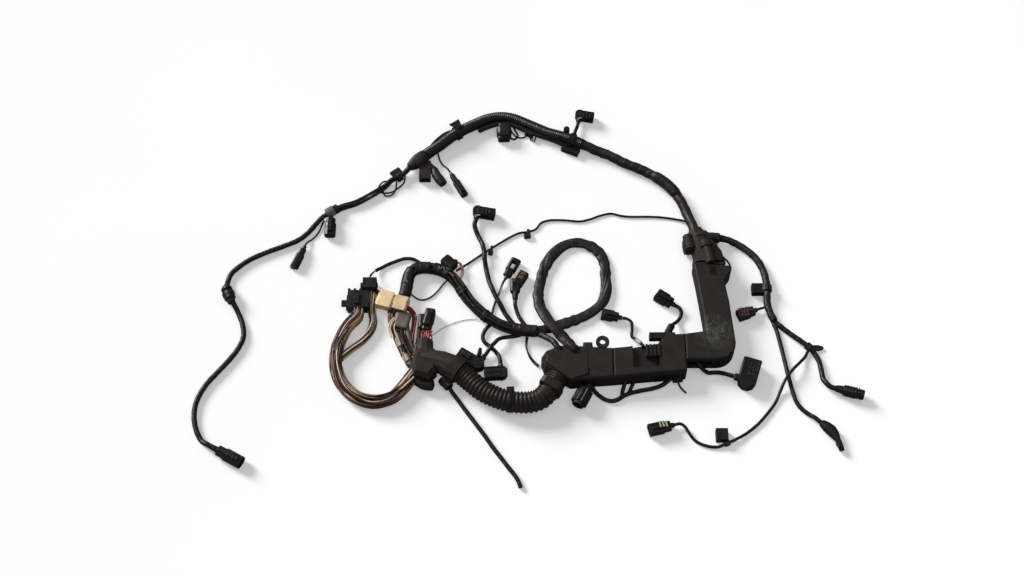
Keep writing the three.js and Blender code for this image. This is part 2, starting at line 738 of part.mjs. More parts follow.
const conduitReach = cuffLength - cuffOverlap + seatGap;
const conduit = cable(path([
  [-116, -151, 2], [-106, -158, 1], [-95, -167], [-84, -177], [-70, -189], [-52, -199], [-33, -206],
  [-13, -209], [5, -208], [20, -202, cuffRest], beforeFace(conduitReach + 13), beforeFace(conduitReach),
], conduitDiameter + 2 * seatGap), conduitDiameter);
const conduitRoot = conduitDiameter / 2 - ridgeDepth;
const conduitBore = conduitRoot - conduitWall;

// Wires out of sight: through the boot, the conduit and the duct
const entryWires = cable(conduit.curve, 2 * conduitBore - 8, { stride: 1.1 });
const ductWires = cable(curveThrough(
  [...beforeFace(conduitReach + 10).slice(0, 2), cuffSize / 2], [...beforeFace(0).slice(0, 2), cuffSize / 2],
  [60, -147, 15], [85, -145, 12], [120, -146, 11.2], [160, -142, 11.2], [205, -134, 11.2], [250, -126, 11.2],
  [283, -113, 11.2], [293, -88, 11.2], [294, -50, 11.2], [292, -10, 12], [290, 20, 14], [288, 44, 15],
), ductWiresDiameter, { stride: 1.8 });

// Corrugated conduit: trapezoid ridges outside, plain bore inside, a plain end for the cuff
function corrugatedConduit() {
  const sides = 10;
  const crest = conduitDiameter / 2;
  const length = conduit.curve.getLength();
  const ridged = length - cuffOverlap - 2;
  const ridges = Math.round(ridged / conduitPitch);
  const pitch = ridged / ridges;
  const outer = [[0, conduitRoot]];
  for (let i = 0; i < ridges; i += 1) {
    const start = i * pitch;
    outer.push([start + pitch * 0.25, crest], [start + pitch * 0.75, crest], [start + pitch, conduitRoot]);
  }
  outer.push([length, conduitRoot]);
  const steps = Math.ceil(length / 16);
  const inner = [];
  for (let i = steps; i >= 0; i -= 1) inner.push([(length * i) / steps, conduitBore]);
  const rings = [...outer, ...inner].map(([run, radius]) => (
    ringAt(conduit.curve, Math.min(1, run / length), roundOutline(2 * radius, 2 * radius, 2, sides))
  ));
  return loft(rings, { joined: true });
}

// Cuff: rounded-square clamp round the plain end of the conduit, then ring ribs up to the duct
function conduitCuff() {
  const half = cuffSize / 2;
  const bore = conduitRoot / Math.cos(Math.PI / 12) + seatGap;
  const seat = cuffOverlap + seatGap;
  const clampLength = cuffLength * 0.5;
  const ribPitch = (cuffLength - clampLength) / 3;
  const profile = [[clampLength - 1, 0], [clampLength - 1, half - 2]];
  for (let i = 0; i < 3; i += 1) {
    const x = clampLength + i * ribPitch;
    profile.push([x + 0.4, half - 2], [x + 1, half]);
    profile.push([x + ribPitch - 1.2, half], [x + ribPitch - 0.6, half - 2]);
  }
  profile.push([cuffLength, half - 2], [cuffLength, 0]);
  const body = union(bar(0, clampLength, cuffSize, cuffSize, 7, 1), turned(profile, 12));
  const through = [[-1, 0], [-1, bore], [seat, bore], [seat, conduitBore], [cuffLength + 1, conduitBore]];
  return cut(body, turned([...through, [cuffLength + 1, 0]], 12));
}

// Y-shaped boot: a limb onto the conduit, a limb for the upper wires and an outlet for the straight lead
function yBoot() {
  const cuff = conduitDiameter + 2 * (bootWall + seatGap);
  const join = [-148, -138, 19];
  const conduitStart = conduit.curve.getPointAt(0);
  const cuffEnd = conduit.curve.getPointAt(bootCuffLength / conduit.curve.getLength());
  const mainLimb = limb(
    curveThrough([-164, -135, 18], join, [-132, -142.5, 19.5], conduitStart.toArray(), cuffEnd.toArray()),
    [[bootLimbWidth, bootLimbHeight + 4], [bootLimbWidth + 3, cuff - 6], [cuff - 4, cuff - 3], [cuff, cuff],
      [cuff, cuff]],
  );
  const sideLimb = limb(
    curveThrough([-160.5, -103, 14], [-161, -118, 15.5], [-157, -131, 17], join),
    [[bootLimbWidth - 3, bootLimbHeight - 2], [bootLimbWidth - 1, bootLimbHeight],
      [bootLimbWidth, bootLimbHeight + 3], [bootLimbWidth, bootLimbHeight + 4]],
  );
  const outletPlace = beyondStart(straightLead);
  const outlet = moved(turned([[0, 0], [0, 7.5], [9, 8], [10, 9.3], [18, 9.3], [18, 0]], 10), outletPlace);
  const passages = [colouredLoop, creamWires, redWires, tallWires, entryWires, straightLead].map(room);
  const bore = roundOutline(conduitDiameter + 3 * seatGap, conduitDiameter + 3 * seatGap, 2, 10);
  const seat = loft([-1, 0, 4, 8, 12, 16, 20].map((run) => {
    const ring = ringAt(conduit.curve, Math.max(0, run) / conduit.curve.getLength(), bore);
    return run < 0 ? ring.map((p) => p.addScaledVector(conduit.curve.getTangentAt(0), run)) : ring;
  }));
  return largest(cut(onPlane(union(mainLimb, sideLimb, outlet)), ...passages, seat));
}

const tallPlugPlace = { position: new THREE.Vector3(-159.6, -82, tallPlugSize[2] / 2), heading: 1.4 };
const tallWires = cable(curveThrough(
  [...spotOf(tallPlugPlace, -seatGap, 0), 9], [...spotOf(tallPlugPlace, -9, 0), 9],
  [-161, -106, 13.5], [-160.5, -120, 15.5], [-155, -133, 17.5], [-143, -141, 19],
), strandGroupDiameter, { stride: 1.1 });

// Duct

// Outline moved inwards, each corner along its mitre
function inset(outline, distance) {
  return outline.map((point, i) => {
    const before = outline[(i + outline.length - 1) % outline.length];
    const after = outline[(i + 1) % outline.length];
    const a = new THREE.Vector2(point[0] - before[0], point[1] - before[1]).normalize();
    const b = new THREE.Vector2(after[0] - point[0], after[1] - point[1]).normalize();
    const normal = new THREE.Vector2(-a.y - b.y, a.x + b.x).normalize();
    const reach = distance / Math.max(0.4, normal.dot(new THREE.Vector2(-a.y, a.x)));
    return [point[0] + normal.x * reach, point[1] + normal.y * reach];
  });
}

function level(outline, z) {
  return outline.map(([x, y]) => new THREE.Vector3(x, y, z));
}

function prism(outline, z0, z1) {
  return loft([level(outline, z0), level(outline, z1)]);
}

// Cover with side skirts and a chamfered roof, open below
function cover(outline) {
  const own = inset(outline, seatGap / 2);
  const skirt = trayHeight + seatGap;
  const shell = loft([
    level(own, skirt), level(own, ductHeight - lidChamfer), level(inset(own, lidChamfer), ductHeight),
  ]);
  return cut(shell, prism(inset(own, ductWall), skirt - 1, ductHeight - ductWall));
}

function ductBase() {
  const tray = cut(
    prism(trayOutline, 0, trayHeight),
    prism(inset(trayOutline, ductWall), ductFloor, trayHeight + 1),
  );
  return cut(tray, room(ductWires), room(underCable));
}

function cornerCover() {
  const slot = box(
    [stepX + 4, cornerFront - 1, slotHeight - leadEDiameter / 2 - seatGap],
    [stepX + 40, cornerFront + ductWall + 1, slotHeight + leadEDiameter / 2 + seatGap],
  );
  const knob = solid(new THREE.CylinderGeometry(3, 3.5, 6, 10).translate(297, cornerFront + 0.5, 22));
  return cut(cover(cornerOutline).add(knob), slot, room(ductWires));
}

function lowerCover() {
  const pocket = box(
    [recessLeft + 3, lowerFront + 5, recessFloor],
    [recessRight - 4, lowerBack + 5, ductHeight + 1],
  );
  const lining = box(
    [recessLeft + 1, lowerFront + 3, recessFloor - ductWall],
    [recessRight - 2, endBack + 1, ductHeight - 0.5],
  );
  const block = box(
    [recessRight - 25, endBack - 17, recessFloor - 1],
    [recessRight - 3, endBack + 3, ductHeight + 2],
  );
  const grooves = [0, 1, 2].map((i) => box(
    [recessRight - 22 + i * 6, endBack - 18, ductHeight - 1],
    [recessRight - 19 + i * 6, endBack + 4, ductHeight + 3],
  ));
  const sleeve = limb(
    curveThrough([212, -104, sleeveHeightD], [216, -94, sleeveHeightD], [221.6, -81.6, sleeveHeightD]),
    [[12, 12], [12, 12], [9, 9]], 2, 10,
  );
  const flange = box([188, lowerBack - 3, ductHeight - 5], [228, lowerBack + 2.5, ductHeight - 2]);
  const sleeveOutside = cut(sleeve, prism(inset(lowerOutline, ductWall + 1), 0, ductHeight));
  const lid = cut(cover(lowerOutline).add(lining), pocket);
  const whole = union(lid, cut(block, ...grooves), sleeveOutside, flange);
  return largest(cut(whole, room(leadD), room(leadC), room(ductWires)));
}

// End cover: roof with a seam, hoods over two cable inlets and an eyelet for fastening
function endCover() {
  const eyeletCentre = [115, endBack + earReach];
  const disc = new THREE.CylinderGeometry(earDiameter / 2, earDiameter / 2, earThickness, 20);
  const eyelet = solid(disc.rotateX(Math.PI / 2).translate(...eyeletCentre, ductHeight - earThickness / 2));
  const hole = new THREE.CylinderGeometry(earHoleDiameter / 2, earHoleDiameter / 2, 3 * earThickness, 14);
  const eye = solid(hole.rotateX(Math.PI / 2).translate(...eyeletCentre, ductHeight));
  const groove = box([91.5, endFront - 5, ductHeight - 0.8], [92.5, endBack - 3, ductHeight + 1]);
  const hoods = [smallInlet, loopSleeve].map((inlet, i) => hood(inlet, i === 0 ? 1 : 0));
  const inside = prism(inset(endOutline, ductWall + 1), 0, ductHeight - ductWall);
  const shell = union(cover(endOutline), eyelet, ...hoods.map((one) => cut(one, inside)));
  return largest(cut(shell, eye, groove, room(smallInlet), room(loopSleeve), room(ductWires)));
}

// Half-round hood over an inlet, from outside the wall to a rounded nose on the roof
function hood(inlet, end) {
  const tip = inlet.curve.getPointAt(end);
  const inward = inlet.curve.getTangentAt(end).multiplyScalar(end === 1 ? 1 : -1);
  const shape = new THREE.CapsuleGeometry(inlet.width / 2 + 1.6, 12, 2, 10);
  shape.rotateZ(Math.atan2(inward.y, inward.x) - Math.PI / 2);
  const middle = tip.clone().addScaledVector(inward, -3);
  shape.translate(middle.x, middle.y, Math.min(middle.z, ductHeight - inlet.width / 2 + 1));
  const below = box([-500, -500, -50], [500, 500, trayHeight + seatGap]);
  return cut(solid(shape), below);
}

// Mouth of the duct: a funnel for the taped arc, a ribbed side port, a nub, a branch port and a bridge tube
function ductMouth() {
  const top = tapedArc.curve.getPointAt(1);
  const inward = tapedArc.curve.getTangentAt(1);
  const start = top.clone().addScaledVector(inward, seatGap);
  const edge = 31.5 + seatGap;
  const funnel = limb(
    curveThrough(
      start.toArray(), [start.x + 4, start.y - 14, 14.5], [285, 64, 15], [290, 50, 15], [290.5, edge + 5, 15],
    ),
    [[22, 23], [34, 26], [42, 28], [48, 29], [54, 29.6]], 3,
  );
  const profile = [[0, 0], [0, 12]];
  for (let i = 0; i < 3; i += 1) {
    const x = 2 + i * 5;
    profile.push([x, 12], [x + 1, 13.5], [x + 3, 13.5], [x + 4, 12]);
  }
  profile.push([20, 12], [21, 0]);
  const port = moved(turned(profile, 10), { position: new THREE.Vector3(272, 72, 14), heading: 3.3 });
  const nub = solid(new THREE.SphereGeometry(5, 8, 5).translate(287, 93, 20));
  const branchPort = moved(collarOf(16, rightBranchDiameter + 6), beyondStart(branchRight));
  const bridge = limb(
    curveThrough([284, 72, 24], [287, 60, 29], [288.5, 44, 29], [289, 34, 27]),
    [[12, 12], [13, 13], [13, 13], [13, 12]], 2, 10,
  );
  const clear = prism([
    [200, -50], [400, -50], [400, 20.5 + seatGap], [326, 26.2], [252, 31.5 + seatGap], [200, 36],
  ], -20, 60);
  const below = box([200, 0, -50], [400, 200, 0]);
  const whole = union(funnel, port, nub, branchPort, bridge);
  return largest(cut(
    whole, clear, below, room(ductWires), room(thinWire), room(tapedArc), rightBranchRoom,
  ));
}

// Cables as pieces

// A body without what dips below the plane
function onPlane(body) {
  return body.boundingBox().min[2] < 0 ? cut(body, ground) : body;
}

// Cables joined in one body
function joined(...cables) {
  return onPlane(union(...cables.map((one) => tube(one))));
}

// A cable cut off where it meets its neighbours
function trimmed(one, ...neighbours) {
  return largest(cut(onPlane(tube(one)), ...neighbours));
}

const groundLength = 1200;
const groundWidth = 800;
const groundDepth = 20;
const ground = box(
  [-groundLength / 2, -groundWidth / 2, -groundDepth], [groundLength / 2, groundWidth / 2, 0],
);
const middleRoom = room(middleBundle);
const rightBranchRoom = room(branchRight);

piece('lead_left', joined(leadLeft), leadSheath);
piece('bundle_left', joined(bundleLeft, looseWire), leadSheath);
piece('trunk_upper', joined(loom, sideCable, tapedArc), tapedCloth);
piece('thin_wire', trimmed(thinWire, room(tapedArc), middleRoom), leadSheath);
piece('branch_right', joined(branchRight), leadSheath);
piece('lead_i', trimmed(leadI, rightBranchRoom, room(leadJ)), leadSheath);
piece('lead_j', trimmed(leadJ, rightBranchRoom), leadSheath);
piece('lead_g', trimmed(leadG, room(leadI)), leadSheath);
piece('lead_e', joined(leadE), leadSheath);
piece('lead_d', joined(leadD), leadSheath);
piece('lead_c', joined(leadC), leadSheath);
piece('lead_elbow', trimmed(elbowLead, middleRoom), leadSheath);
piece('lead_ring', trimmed(ringLead, middleRoom), leadSheath);
piece('lead_boot', trimmed(bootLead, middleRoom), leadSheath);
piece('lead_a', trimmed(leadA, middleRoom, room(twinLead)), leadSheath);
piece('lead_b', trimmed(leadB, middleRoom), leadSheath);
piece('lead_straight', joined(straightLead), tapedCloth);
piece('loop_sleeve', trimmed(loopSleeve, middleRoom, room(smallInlet)), tapedCloth);
piece('bundle_middle', joined(middleBundle, pigtail, hookWire, smallInlet, twinLead), tapedCloth);
piece('wires_coloured', joined(
  colouredLoop, strandGroup, creamWires, redWires, tallWires, entryWires, ductWires,
), colouredSheath);
piece('cable_under_duct', joined(underCable), leadSheath);

// Duct, conduit and boot as pieces
piece('duct_base', ductBase(), ductPlastic);
piece('duct_cover_corner', cornerCover(), ductPlastic);
piece('duct_cover_lower', lowerCover(), ductPlastic);
piece('duct_cover_end', endCover(), ductPlastic);
piece('duct_mouth', ductMouth(), ductPlastic);
const cuffPlace = { position: new THREE.Vector3(...beforeFace(cuffLength + seatGap)), heading: faceHeading };
cuffPlace.position.z = cuffSize / 2;
piece('conduit_cuff', conduitCuff(), conduitPlastic, cuffPlace);
piece('corrugated_conduit', corrugatedConduit(), conduitPlastic);
piece('y_boot', yBoot(), bootRubber);

// Pieces on the cables

// A clip on a cable: bodies given in the cable's own axes at a spot, bored for the cable
function clipOn(one, x, y, ...bodies) {
  return cut(moved(union(...bodies), along(one, shareNear(one, x, y))), room(one));
}

// Places of connectors that no free lead leads up to
const oblongPlace = {
  position: new THREE.Vector3(-321.5, 140, oblongPlugSize[2] / 2), heading: -Math.PI / 2,
};
const hangingPlace = { position: new THREE.Vector3(-40, 323, hangingPlugSize[2] / 2), heading: -1.53 };
const capPlace = { position: new THREE.Vector3(-126, 43, capPlugSize[2] / 2), heading: -Math.PI / 4 };
const ribbedPlace = { position: new THREE.Vector3(92, -178, ribbedPlugSize[1] / 2), heading: -2.05 };

const tanTail = cable(path([
  [-333, 128, 1], [-337, 118], [-340, 108], [-345, 99], [-352, 91],
  [-358, 84, axisLift(tanPlugSize[2], tailDiameter)], [-361, 76, axisLift(tanPlugSize[2], tailDiameter)],
], tailDiameter), tailDiameter, { sides: 6 });

const slimTail = cable(path([
  [-150, 262, 4], [-147, 250, 2], [-141, 239], [-133, 230, axisLift(slimPlugSize[2], tailDiameter)],
  [-127, 219, axisLift(slimPlugSize[2], tailDiameter)],
], tailDiameter), tailDiameter, { sides: 6 });

const elbowTail = cable(path([
  [80, 290, 8], [82, 303, 6], [86, 314, 5], [88, 324, 5],
], 6), 6, { stride: 1.6 });

const tailF = cable(path([
  [377, -37, 4], [370, -39, 5], [362, -42, axisLift(plugFSize[2], 4)],
], 4), 4, { stride: 1.6 });

// A connector with its own short lead as one body, clear of the cables beside it
function withTail(tail, plug, ...neighbours) {
  const place = beyondEnd(tail);
  const back = new THREE.Vector3(Math.cos(place.heading), Math.sin(place.heading), 0);
  place.position.addScaledVector(back, -3 * seatGap);
  return largest(cut(onPlane(union(tube(tail), moved(plug, place))), ...neighbours));
}

function bandAndOblongPlug() {
  const band = moved(strap(leftBundleDiameter, 16), along(bundleLeft, 0.06));
  const plug = boxPlug(oblongPlugSize, {
    collarLength: 12, collarDiameter: 7, corner: 5, open: false, ribs: 0,
  });
  return largest(cut(union(band, moved(plug, oblongPlace)), room(bundleLeft), room(leadLeft)));
}

function grommet() {
  const r = grommetRadius;
  return turned([
    [-16, 0], [-16, r - 4], [-9, r - 3], [-8, r - 0.8], [-3, r - 0.8], [-2, r], [4, r],
    [5, r - 3.5], [8, r - 3.5], [9, r - 1], [12, r - 1.2], [16, r - 4], [16, 0],
  ]);
}

function tapeKnot() {
  const from = bundleLeft.curve.getPointAt(1);
  const to = loom.curve.getPointAt(0);
  const knot = limb(curveThrough(
    from.clone().addScaledVector(bundleLeft.curve.getTangentAt(1), seatGap).toArray(),
    [-189, 234, 12], [-179, 243.5, 12],
    to.clone().addScaledVector(loom.curve.getTangentAt(0), -seatGap).toArray(),
  ), [[14, 14], [20, 20], [24, 23], [24, 23], [21.5, 21.5]], 2.2);
  const block = box([-179.5, 205, 0.5], [-160.5, 240, 14]);
  const slot = box([-176, 200, 5], [-164, 208, 10]);
  const rounded = limb(
    curveThrough([-172, 238, 8], [-157, 228, 7.5], [-150, 213, 7.5], [-139, 197, 7.5]),
    [[10, 10], [12, 11], [13, 12], [15, 14], [16, 15], [14, 13]], 2.2, 12,
  );
  const whole = union(knot, block, rounded);
  return largest(cut(whole, slot, room(looseWire), room(sideCable), room(loom), room(bundleLeft)));
}

function flagClip() {
  const top = loomDiameter / 2 + seatGap;
  const flag = prism([[0, 0], [10, 0], [13, 15], [-6, 15]], top, top + 3);
  return largest(cut(clipOn(loom, -118, 298, strap(loomDiameter, 8), flag), room(sideCable)));
}

function padClip() {
  const plane = -loomDiameter / 2 - strapLift;
  const stem = new THREE.CylinderGeometry(5, 5.5, 20, 10);
  const nub = solid(stem.rotateX(Math.PI / 2).translate(-16, 13, plane + 10));
  const link = box([-16, 8, plane], [4, 15, plane + 6]);
  const pad = box([-11, -21, plane], [19, -8, plane + 10]);
  const clip = clipOn(loom, 76, 283, strap(loomDiameter, 9), pad, nub, link);
  return largest(cut(clip, room(elbowTail), room(tapedArc)));
}

function tagClip() {
  const plane = -leftBundleDiameter / 2 - strapLift;
  const tag = box([-7, 4, plane + 3], [11, 17, plane + 8]);
  return largest(cut(clipOn(bundleLeft, -213, 211, strap(leftBundleDiameter, 9), tag), room(looseWire)));
}

function blockClip() {
  const ring = moved(strap(rightBranchDiameter, 10), along(branchRight, shareNear(branchRight, 381, -4)));
  const block = cut(box([357, -13, 0], [376, 4, 12]), box([360, -15, 3], [370, -9, 9]));
  return cut(union(ring, block), room(branchRight));
}

function lowClip() {
  const ring = moved(strap(leadIDiameter, 9), along(leadI, shareNear(leadI, 438, -108)));
  const disc = new THREE.CylinderGeometry(5, 5, 2.5, 12);
  const leaf = solid(disc.rotateX(Math.PI / 2).scale(2.4, 1, 1).translate(450, -108, 2.4));
  return largest(cut(union(ring, leaf), room(leadI), room(leadG)));
}

function clipH() {
  const ring = moved(strap(leadGDiameter, 8), along(leadG, shareNear(leadG, 299, -271)));
  const block = cut(box([283, -268, 0], [301, -249, 12]), box([286, -251.5, 3], [298, -245, 9]));
  return largest(cut(union(ring, block), room(leadG)));
}

// Flat connector with a window right through its middle
function windowPlug() {
  const [length, width, height] = ringPlugSize;
  const plug = boxPlug(ringPlugSize, { open: false, ribs: 0, latchWidth: 0, corner: 4, collarDiameter: 6 });
  const middle = 6 + length * 0.62;
  return cut(plug, box([middle - 7, -width / 4, -height], [middle + 7, width / 4, height]));
}

function bootedPlug() {
  const [length, width, height] = bootPlugSize;
  const neck = turned([[0, 0], [0, 4.4], [10, 5.2], [13, 5.4], [13, 0]], 10);
  const body = bar(12, length, width, height, 3, 1);
  const shell = union(neck, body, bar(16, length - 8, width + 1.6, height - 3, 2));
  return cut(shell, box([20, -4, height / 2 - 1.5], [12 + length - 5, 4, height]));
}

// Round connector with a rear boot and an open socket
function roundPlug() {
  const [length, diameter] = plugISize;
  const r = diameter / 2;
  const front = 12 + length;
  return turned([
    [0, 0], [0, r * 0.6], [11, r * 0.75], [11.6, r * 0.95], [15, r * 0.95], [16, r], [front - 12, r],
    [front - 11, r * 0.9], [front - 2, r * 0.9], [front, r * 0.84], [front, r * 0.68],
    [front - mouthDepth, r * 0.68], [front - mouthDepth, 0],
  ], 14);
}

function bootJ() {
  const start = beyondEnd(leadJ).position;
  const route = curveThrough(
    start.toArray(), [start.x + 6, start.y - 5.2, 7.2], [start.x + 13, start.y - 12, 7.2],
    [466, -265, 6], [471, -283, 5],
  );
  const body = limb(route, [[11, 11], [16, 13.6], [18, 14], [15, 12], [9, 9], [9, 9], [8, 8]], 2.6, 12);
  return cut(body, box([400, -400, -20], [500, -200, 0]));
}

// Round connector with a toothed grip, out of the front wall of the duct
function ribbedPlug() {
  const [length, diameter] = ribbedPlugSize;
  const teeth = 12;
  const outline = new THREE.Shape();
  for (let i = 0; i < teeth * 4; i += 1) {
    const angle = ((i + 0.5) / (teeth * 4)) * 2 * Math.PI;
    const radius = (diameter / 2) * (i % 4 < 2 ? 1 : 0.88);
    const point = [Math.cos(angle) * radius, Math.sin(angle) * radius];
    if (i === 0) outline.moveTo(...point);
    else outline.lineTo(...point);
  }
  const grip = new THREE.ExtrudeGeometry(outline, { depth: length, bevelEnabled: false });
  grip.rotateY(Math.PI / 2);
  grip.translate(10, 0, 0);
  const r = diameter / 2;
  const core = turned([[0, 0], [0, r * 0.62], [11, r * 0.62], [11, r * 0.8], [length + 9, r * 0.8],
    [length + 14, r * 0.72], [length + 14, r * 0.45], [length + 6, r * 0.45], [length + 6, 0]], 14);
  const hollow = turned([
    [length + 6, 0], [length + 6, r * 0.45], [length + 11, r * 0.45], [length + 11, 0],
  ], 14);
  const duct = prism(inset(trayOutline, -seatGap), -1, 60);
  return largest(cut(moved(cut(solid(grip).add(core), hollow), ribbedPlace), duct, room(underCable)));
}

// Large connector: a low shell with a side lug and a flange, and a taller tower behind
function blackPlug() {
  const [width, depth, height] = blackPlugSize;
  const [x0, x1] = [-285, -285 + width];
  const body = union(
    box([x0, blackFront, 0], [x1, blackFront + depth, height]),
    box([x0 - 3, blackFront + 4, 0], [x0 + 1, blackFront + depth - 4, 5]),
    box([x0 - 10, -36, 5], [x0 + 1, -27, 12]),
    box([-262, towerFront, 0], [-240, towerBack, towerTop]),
    box([-266, towerFront - 8, 0], [-252, towerBack - 6, height - 3]),
    box([-264, towerFront + 4, towerTop - 8], [-238, towerFront + 9, towerTop - 3]),
    latchOn(-270, blackFront + 6, 18, height),
  );
  const grooves = [0, 1, 2].map((i) => box(
    [x0 + 4 + i * 9, blackFront + depth - 3, 5], [x0 + 9 + i * 9, blackFront + depth + 1, height + 1],
  ));
  return largest(cut(body, ...grooves, room(colouredLoop), room(strandGroup), room(pigtail)));
}

// Latch along +Y from a spot on the top of a housing
function latchOn(x, y, length, top) {
  return moved(latch(0, length, 8, top), { position: new THREE.Vector3(x, y, 0), heading: Math.PI / 2 });
}

// Two-part connector: halves on either side of a seam
function creamPlug() {
  const [length, width, height] = creamPlugSize;
  const half = length / 2;
  const body = union(
    bar(-half, half, width, height, 2.5, 1),
    bar(-1, half + 1, width - 2, height - 1.5, 2.5, 1),
    box([-half + 3, -width / 2 - 1, -2], [-4, width / 2 + 1, 3]),
    box([-half + 6, -5, height / 2 - 1], [half - 8, 5, height / 2 + 1.5]),
  );
  const recess = box([6, -9, height / 2 - 2.2], [half - 4, -6.5, height / 2 + 1]);
  const placed = moved(cut(body, recess), creamPlace);
  return largest(cut(placed, room(creamWires), room(redWires), room(middleBundle), room(strandGroup)));
}

function tallPlug() {
  const [length, width, height] = tallPlugSize;
  const shell = union(
    bar(0, length * 0.45, width - 2, height - 3, 2.5, 1),
    bar(length * 0.42, length * 0.58, width, height, 2.5, 1),
    latch(length * 0.2, length - 6, 7, height / 2 - 0.5),
  );
  return cut(shell, bar(length - 4, 6, width - 5, height - 6, 2));
}

function capPlug() {
  const [length, width, height] = capPlugSize;
  const body = bar(-length / 2, length, width, height, 4, 1.5);
  const shell = union(body, bar(-length / 2 + 4, 8, width + 2, height - 2, 4));
  return largest(cut(moved(shell, capPlace), middleRoom, room(thinWire)));
}

piece('plug_left', boxPlug(leftPlugSize, {
  corner: 7, ribs: 0, collarLength: 10, latchWidth: 6,
}), blackPlastic, beyondStart(leadLeft));
const grommetPlace = along(leadLeft, shareNear(leadLeft, -475, -16));
piece('grommet_left', cut(moved(grommet(), grommetPlace), room(leadLeft)), blackPlastic);
piece('plug_oblong', bandAndOblongPlug(), blackPlastic);
const tanPlug = boxPlug(tanPlugSize, { open: false, ribs: 1, latchWidth: 0 });
piece('plug_tan', withTail(tanTail, tanPlug, room(leadLeft), room(bundleLeft)), blackPlastic);
piece('clip_tag', tagClip(), blackPlastic);
piece('tape_knot', tapeKnot(), tapedCloth);
const slimPlug = boxPlug(slimPlugSize, { open: false, ribs: 2, latchWidth: 4 });
piece('plug_slim', withTail(slimTail, slimPlug, room(loom)), blackPlastic);
piece('clip_flag', flagClip(), blackPlastic);
const hangingPlug = boxPlug(hangingPlugSize, { collarLength: 6, ribs: 2, open: false });
piece('plug_hanging', cut(moved(hangingPlug, hangingPlace), room(loom)), blackPlastic);
piece('clip_pad', padClip(), blackPlastic);
piece('plug_elbow_top', withTail(elbowTail, elbowPlug(topElbowSize, -1), room(loom)), blackPlastic);
piece('plug_elbow_middle', elbowPlug(middleElbowSize, -1), blackPlastic, beyondStart(elbowLead));
piece('plug_window', windowPlug(), blackPlastic, beyondStart(ringLead));
piece('plug_booted', bootedPlug(), blackPlastic, beyondStart(bootLead));
piece('plug_c', boxPlug(plugCSize), blackPlastic, beyondEnd(leadC));
piece('plug_d', boxPlug(plugDSize), blackPlastic, beyondEnd(leadD));
piece('plug_e', elbowPlug(plugESize, 1), blackPlastic, beyondEnd(leadE));
piece('plug_f', withTail(tailF, boxPlug(plugFSize, { open: false }), rightBranchRoom), framedPlastic);
piece('clip_block', blockClip(), blackPlastic);
piece('clip_low', lowClip(), blackPlastic);
piece('plug_i', roundPlug(), blackPlastic, beyondEnd(leadI));
piece('boot_j', bootJ(), bootRubber);
piece('clip_h', clipH(), blackPlastic);
piece('plug_g', boxPlug(plugGSize), blackPlastic, beyondEnd(leadG));
piece('plug_a', elbowPlug(plugASize, -1), blackPlastic, beyondEnd(leadA));
piece('plug_b', elbowPlug(plugBSize, -1), blackPlastic, beyondEnd(leadB));
piece('plug_ribbed', ribbedPlug(), blackPlastic);
piece('plug_black', blackPlug(), blackPlastic);
piece('plug_cream', creamPlug(), creamPlastic);
piece('plug_tall', tallPlug(), blackPlastic, tallPlugPlace);
piece('plug_cap', capPlug(), blackPlastic);

// The origin is on the plane, under the middle of all that isn't a free lead
harness.position.set(-14, -16, 0);

export default harness;
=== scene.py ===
"""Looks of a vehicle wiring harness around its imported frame: taped bundles, wires and worn plastic."""
import math
import random

import bmesh
import bpy
from mathutils import Matrix, Vector


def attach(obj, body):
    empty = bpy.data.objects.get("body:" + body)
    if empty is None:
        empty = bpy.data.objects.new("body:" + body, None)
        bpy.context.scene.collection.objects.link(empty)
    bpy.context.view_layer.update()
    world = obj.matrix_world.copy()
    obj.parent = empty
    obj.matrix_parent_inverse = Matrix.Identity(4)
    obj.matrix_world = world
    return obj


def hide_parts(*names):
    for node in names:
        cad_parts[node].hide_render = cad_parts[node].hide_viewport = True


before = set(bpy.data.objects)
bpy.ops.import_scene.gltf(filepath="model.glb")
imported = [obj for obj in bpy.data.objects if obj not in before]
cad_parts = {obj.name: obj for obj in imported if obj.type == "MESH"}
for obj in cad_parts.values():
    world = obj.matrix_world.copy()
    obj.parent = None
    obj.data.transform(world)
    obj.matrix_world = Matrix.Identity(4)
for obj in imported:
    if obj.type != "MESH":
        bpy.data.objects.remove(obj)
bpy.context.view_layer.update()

# Routes and places below are given from the middle of the laid-out harness. The frame's origin lies here.
ORIGIN = Vector((0.014, 0.016, 0.0))

# Routes of the cables' centre lines, each point in millimetres


def metres(points):
    return [tuple(number / 1000 for number in point) for point in points]


LEAD_LEFT = metres([
    (-475, -279, 8), (-484, -274, 8), (-493, -267, 4.3), (-501, -254, 4.3), (-508, -232, 4.3),
    (-509, -210, 4.3), (-505, -192, 4.3), (-495, -171, 4.3), (-481, -152, 4.3), (-466, -132, 4.3),
    (-453, -111, 4.3), (-446, -89, 4.3), (-449, -68, 4.3), (-458, -46, 4.3), (-467, -30, 10),
    (-475, -16, 10), (-479, -2, 10), (-480, 10, 4.3), (-476, 25, 4.3), (-463, 40, 4.3), (-445, 54, 4.3),
    (-420, 67, 4.3), (-395, 78, 4.3), (-373, 89, 4.3), (-358, 103, 4.3), (-346, 120, 4.3), (-336, 132, 6.3),
    (-327.2, 138.6, 6.3),
])
BUNDLE_LEFT = metres([
    (-326.2, 139.4, 7.6), (-318, 145, 7.6), (-303, 154, 5.5), (-284, 160, 5.5), (-265, 170, 5.5),
    (-250, 180, 5.5), (-236, 191, 5.5), (-226, 202, 7.6), (-213, 211, 7.6), (-203, 220, 9.5),
    (-196, 228, 11.5),
])
LOOSE_WIRE = metres([
    (-246, 184, 4.5), (-237, 183, 1.5), (-226, 184, 1.5), (-215, 192, 1.5), (-205, 204, 1.5),
    (-203, 219, 8.5),
])
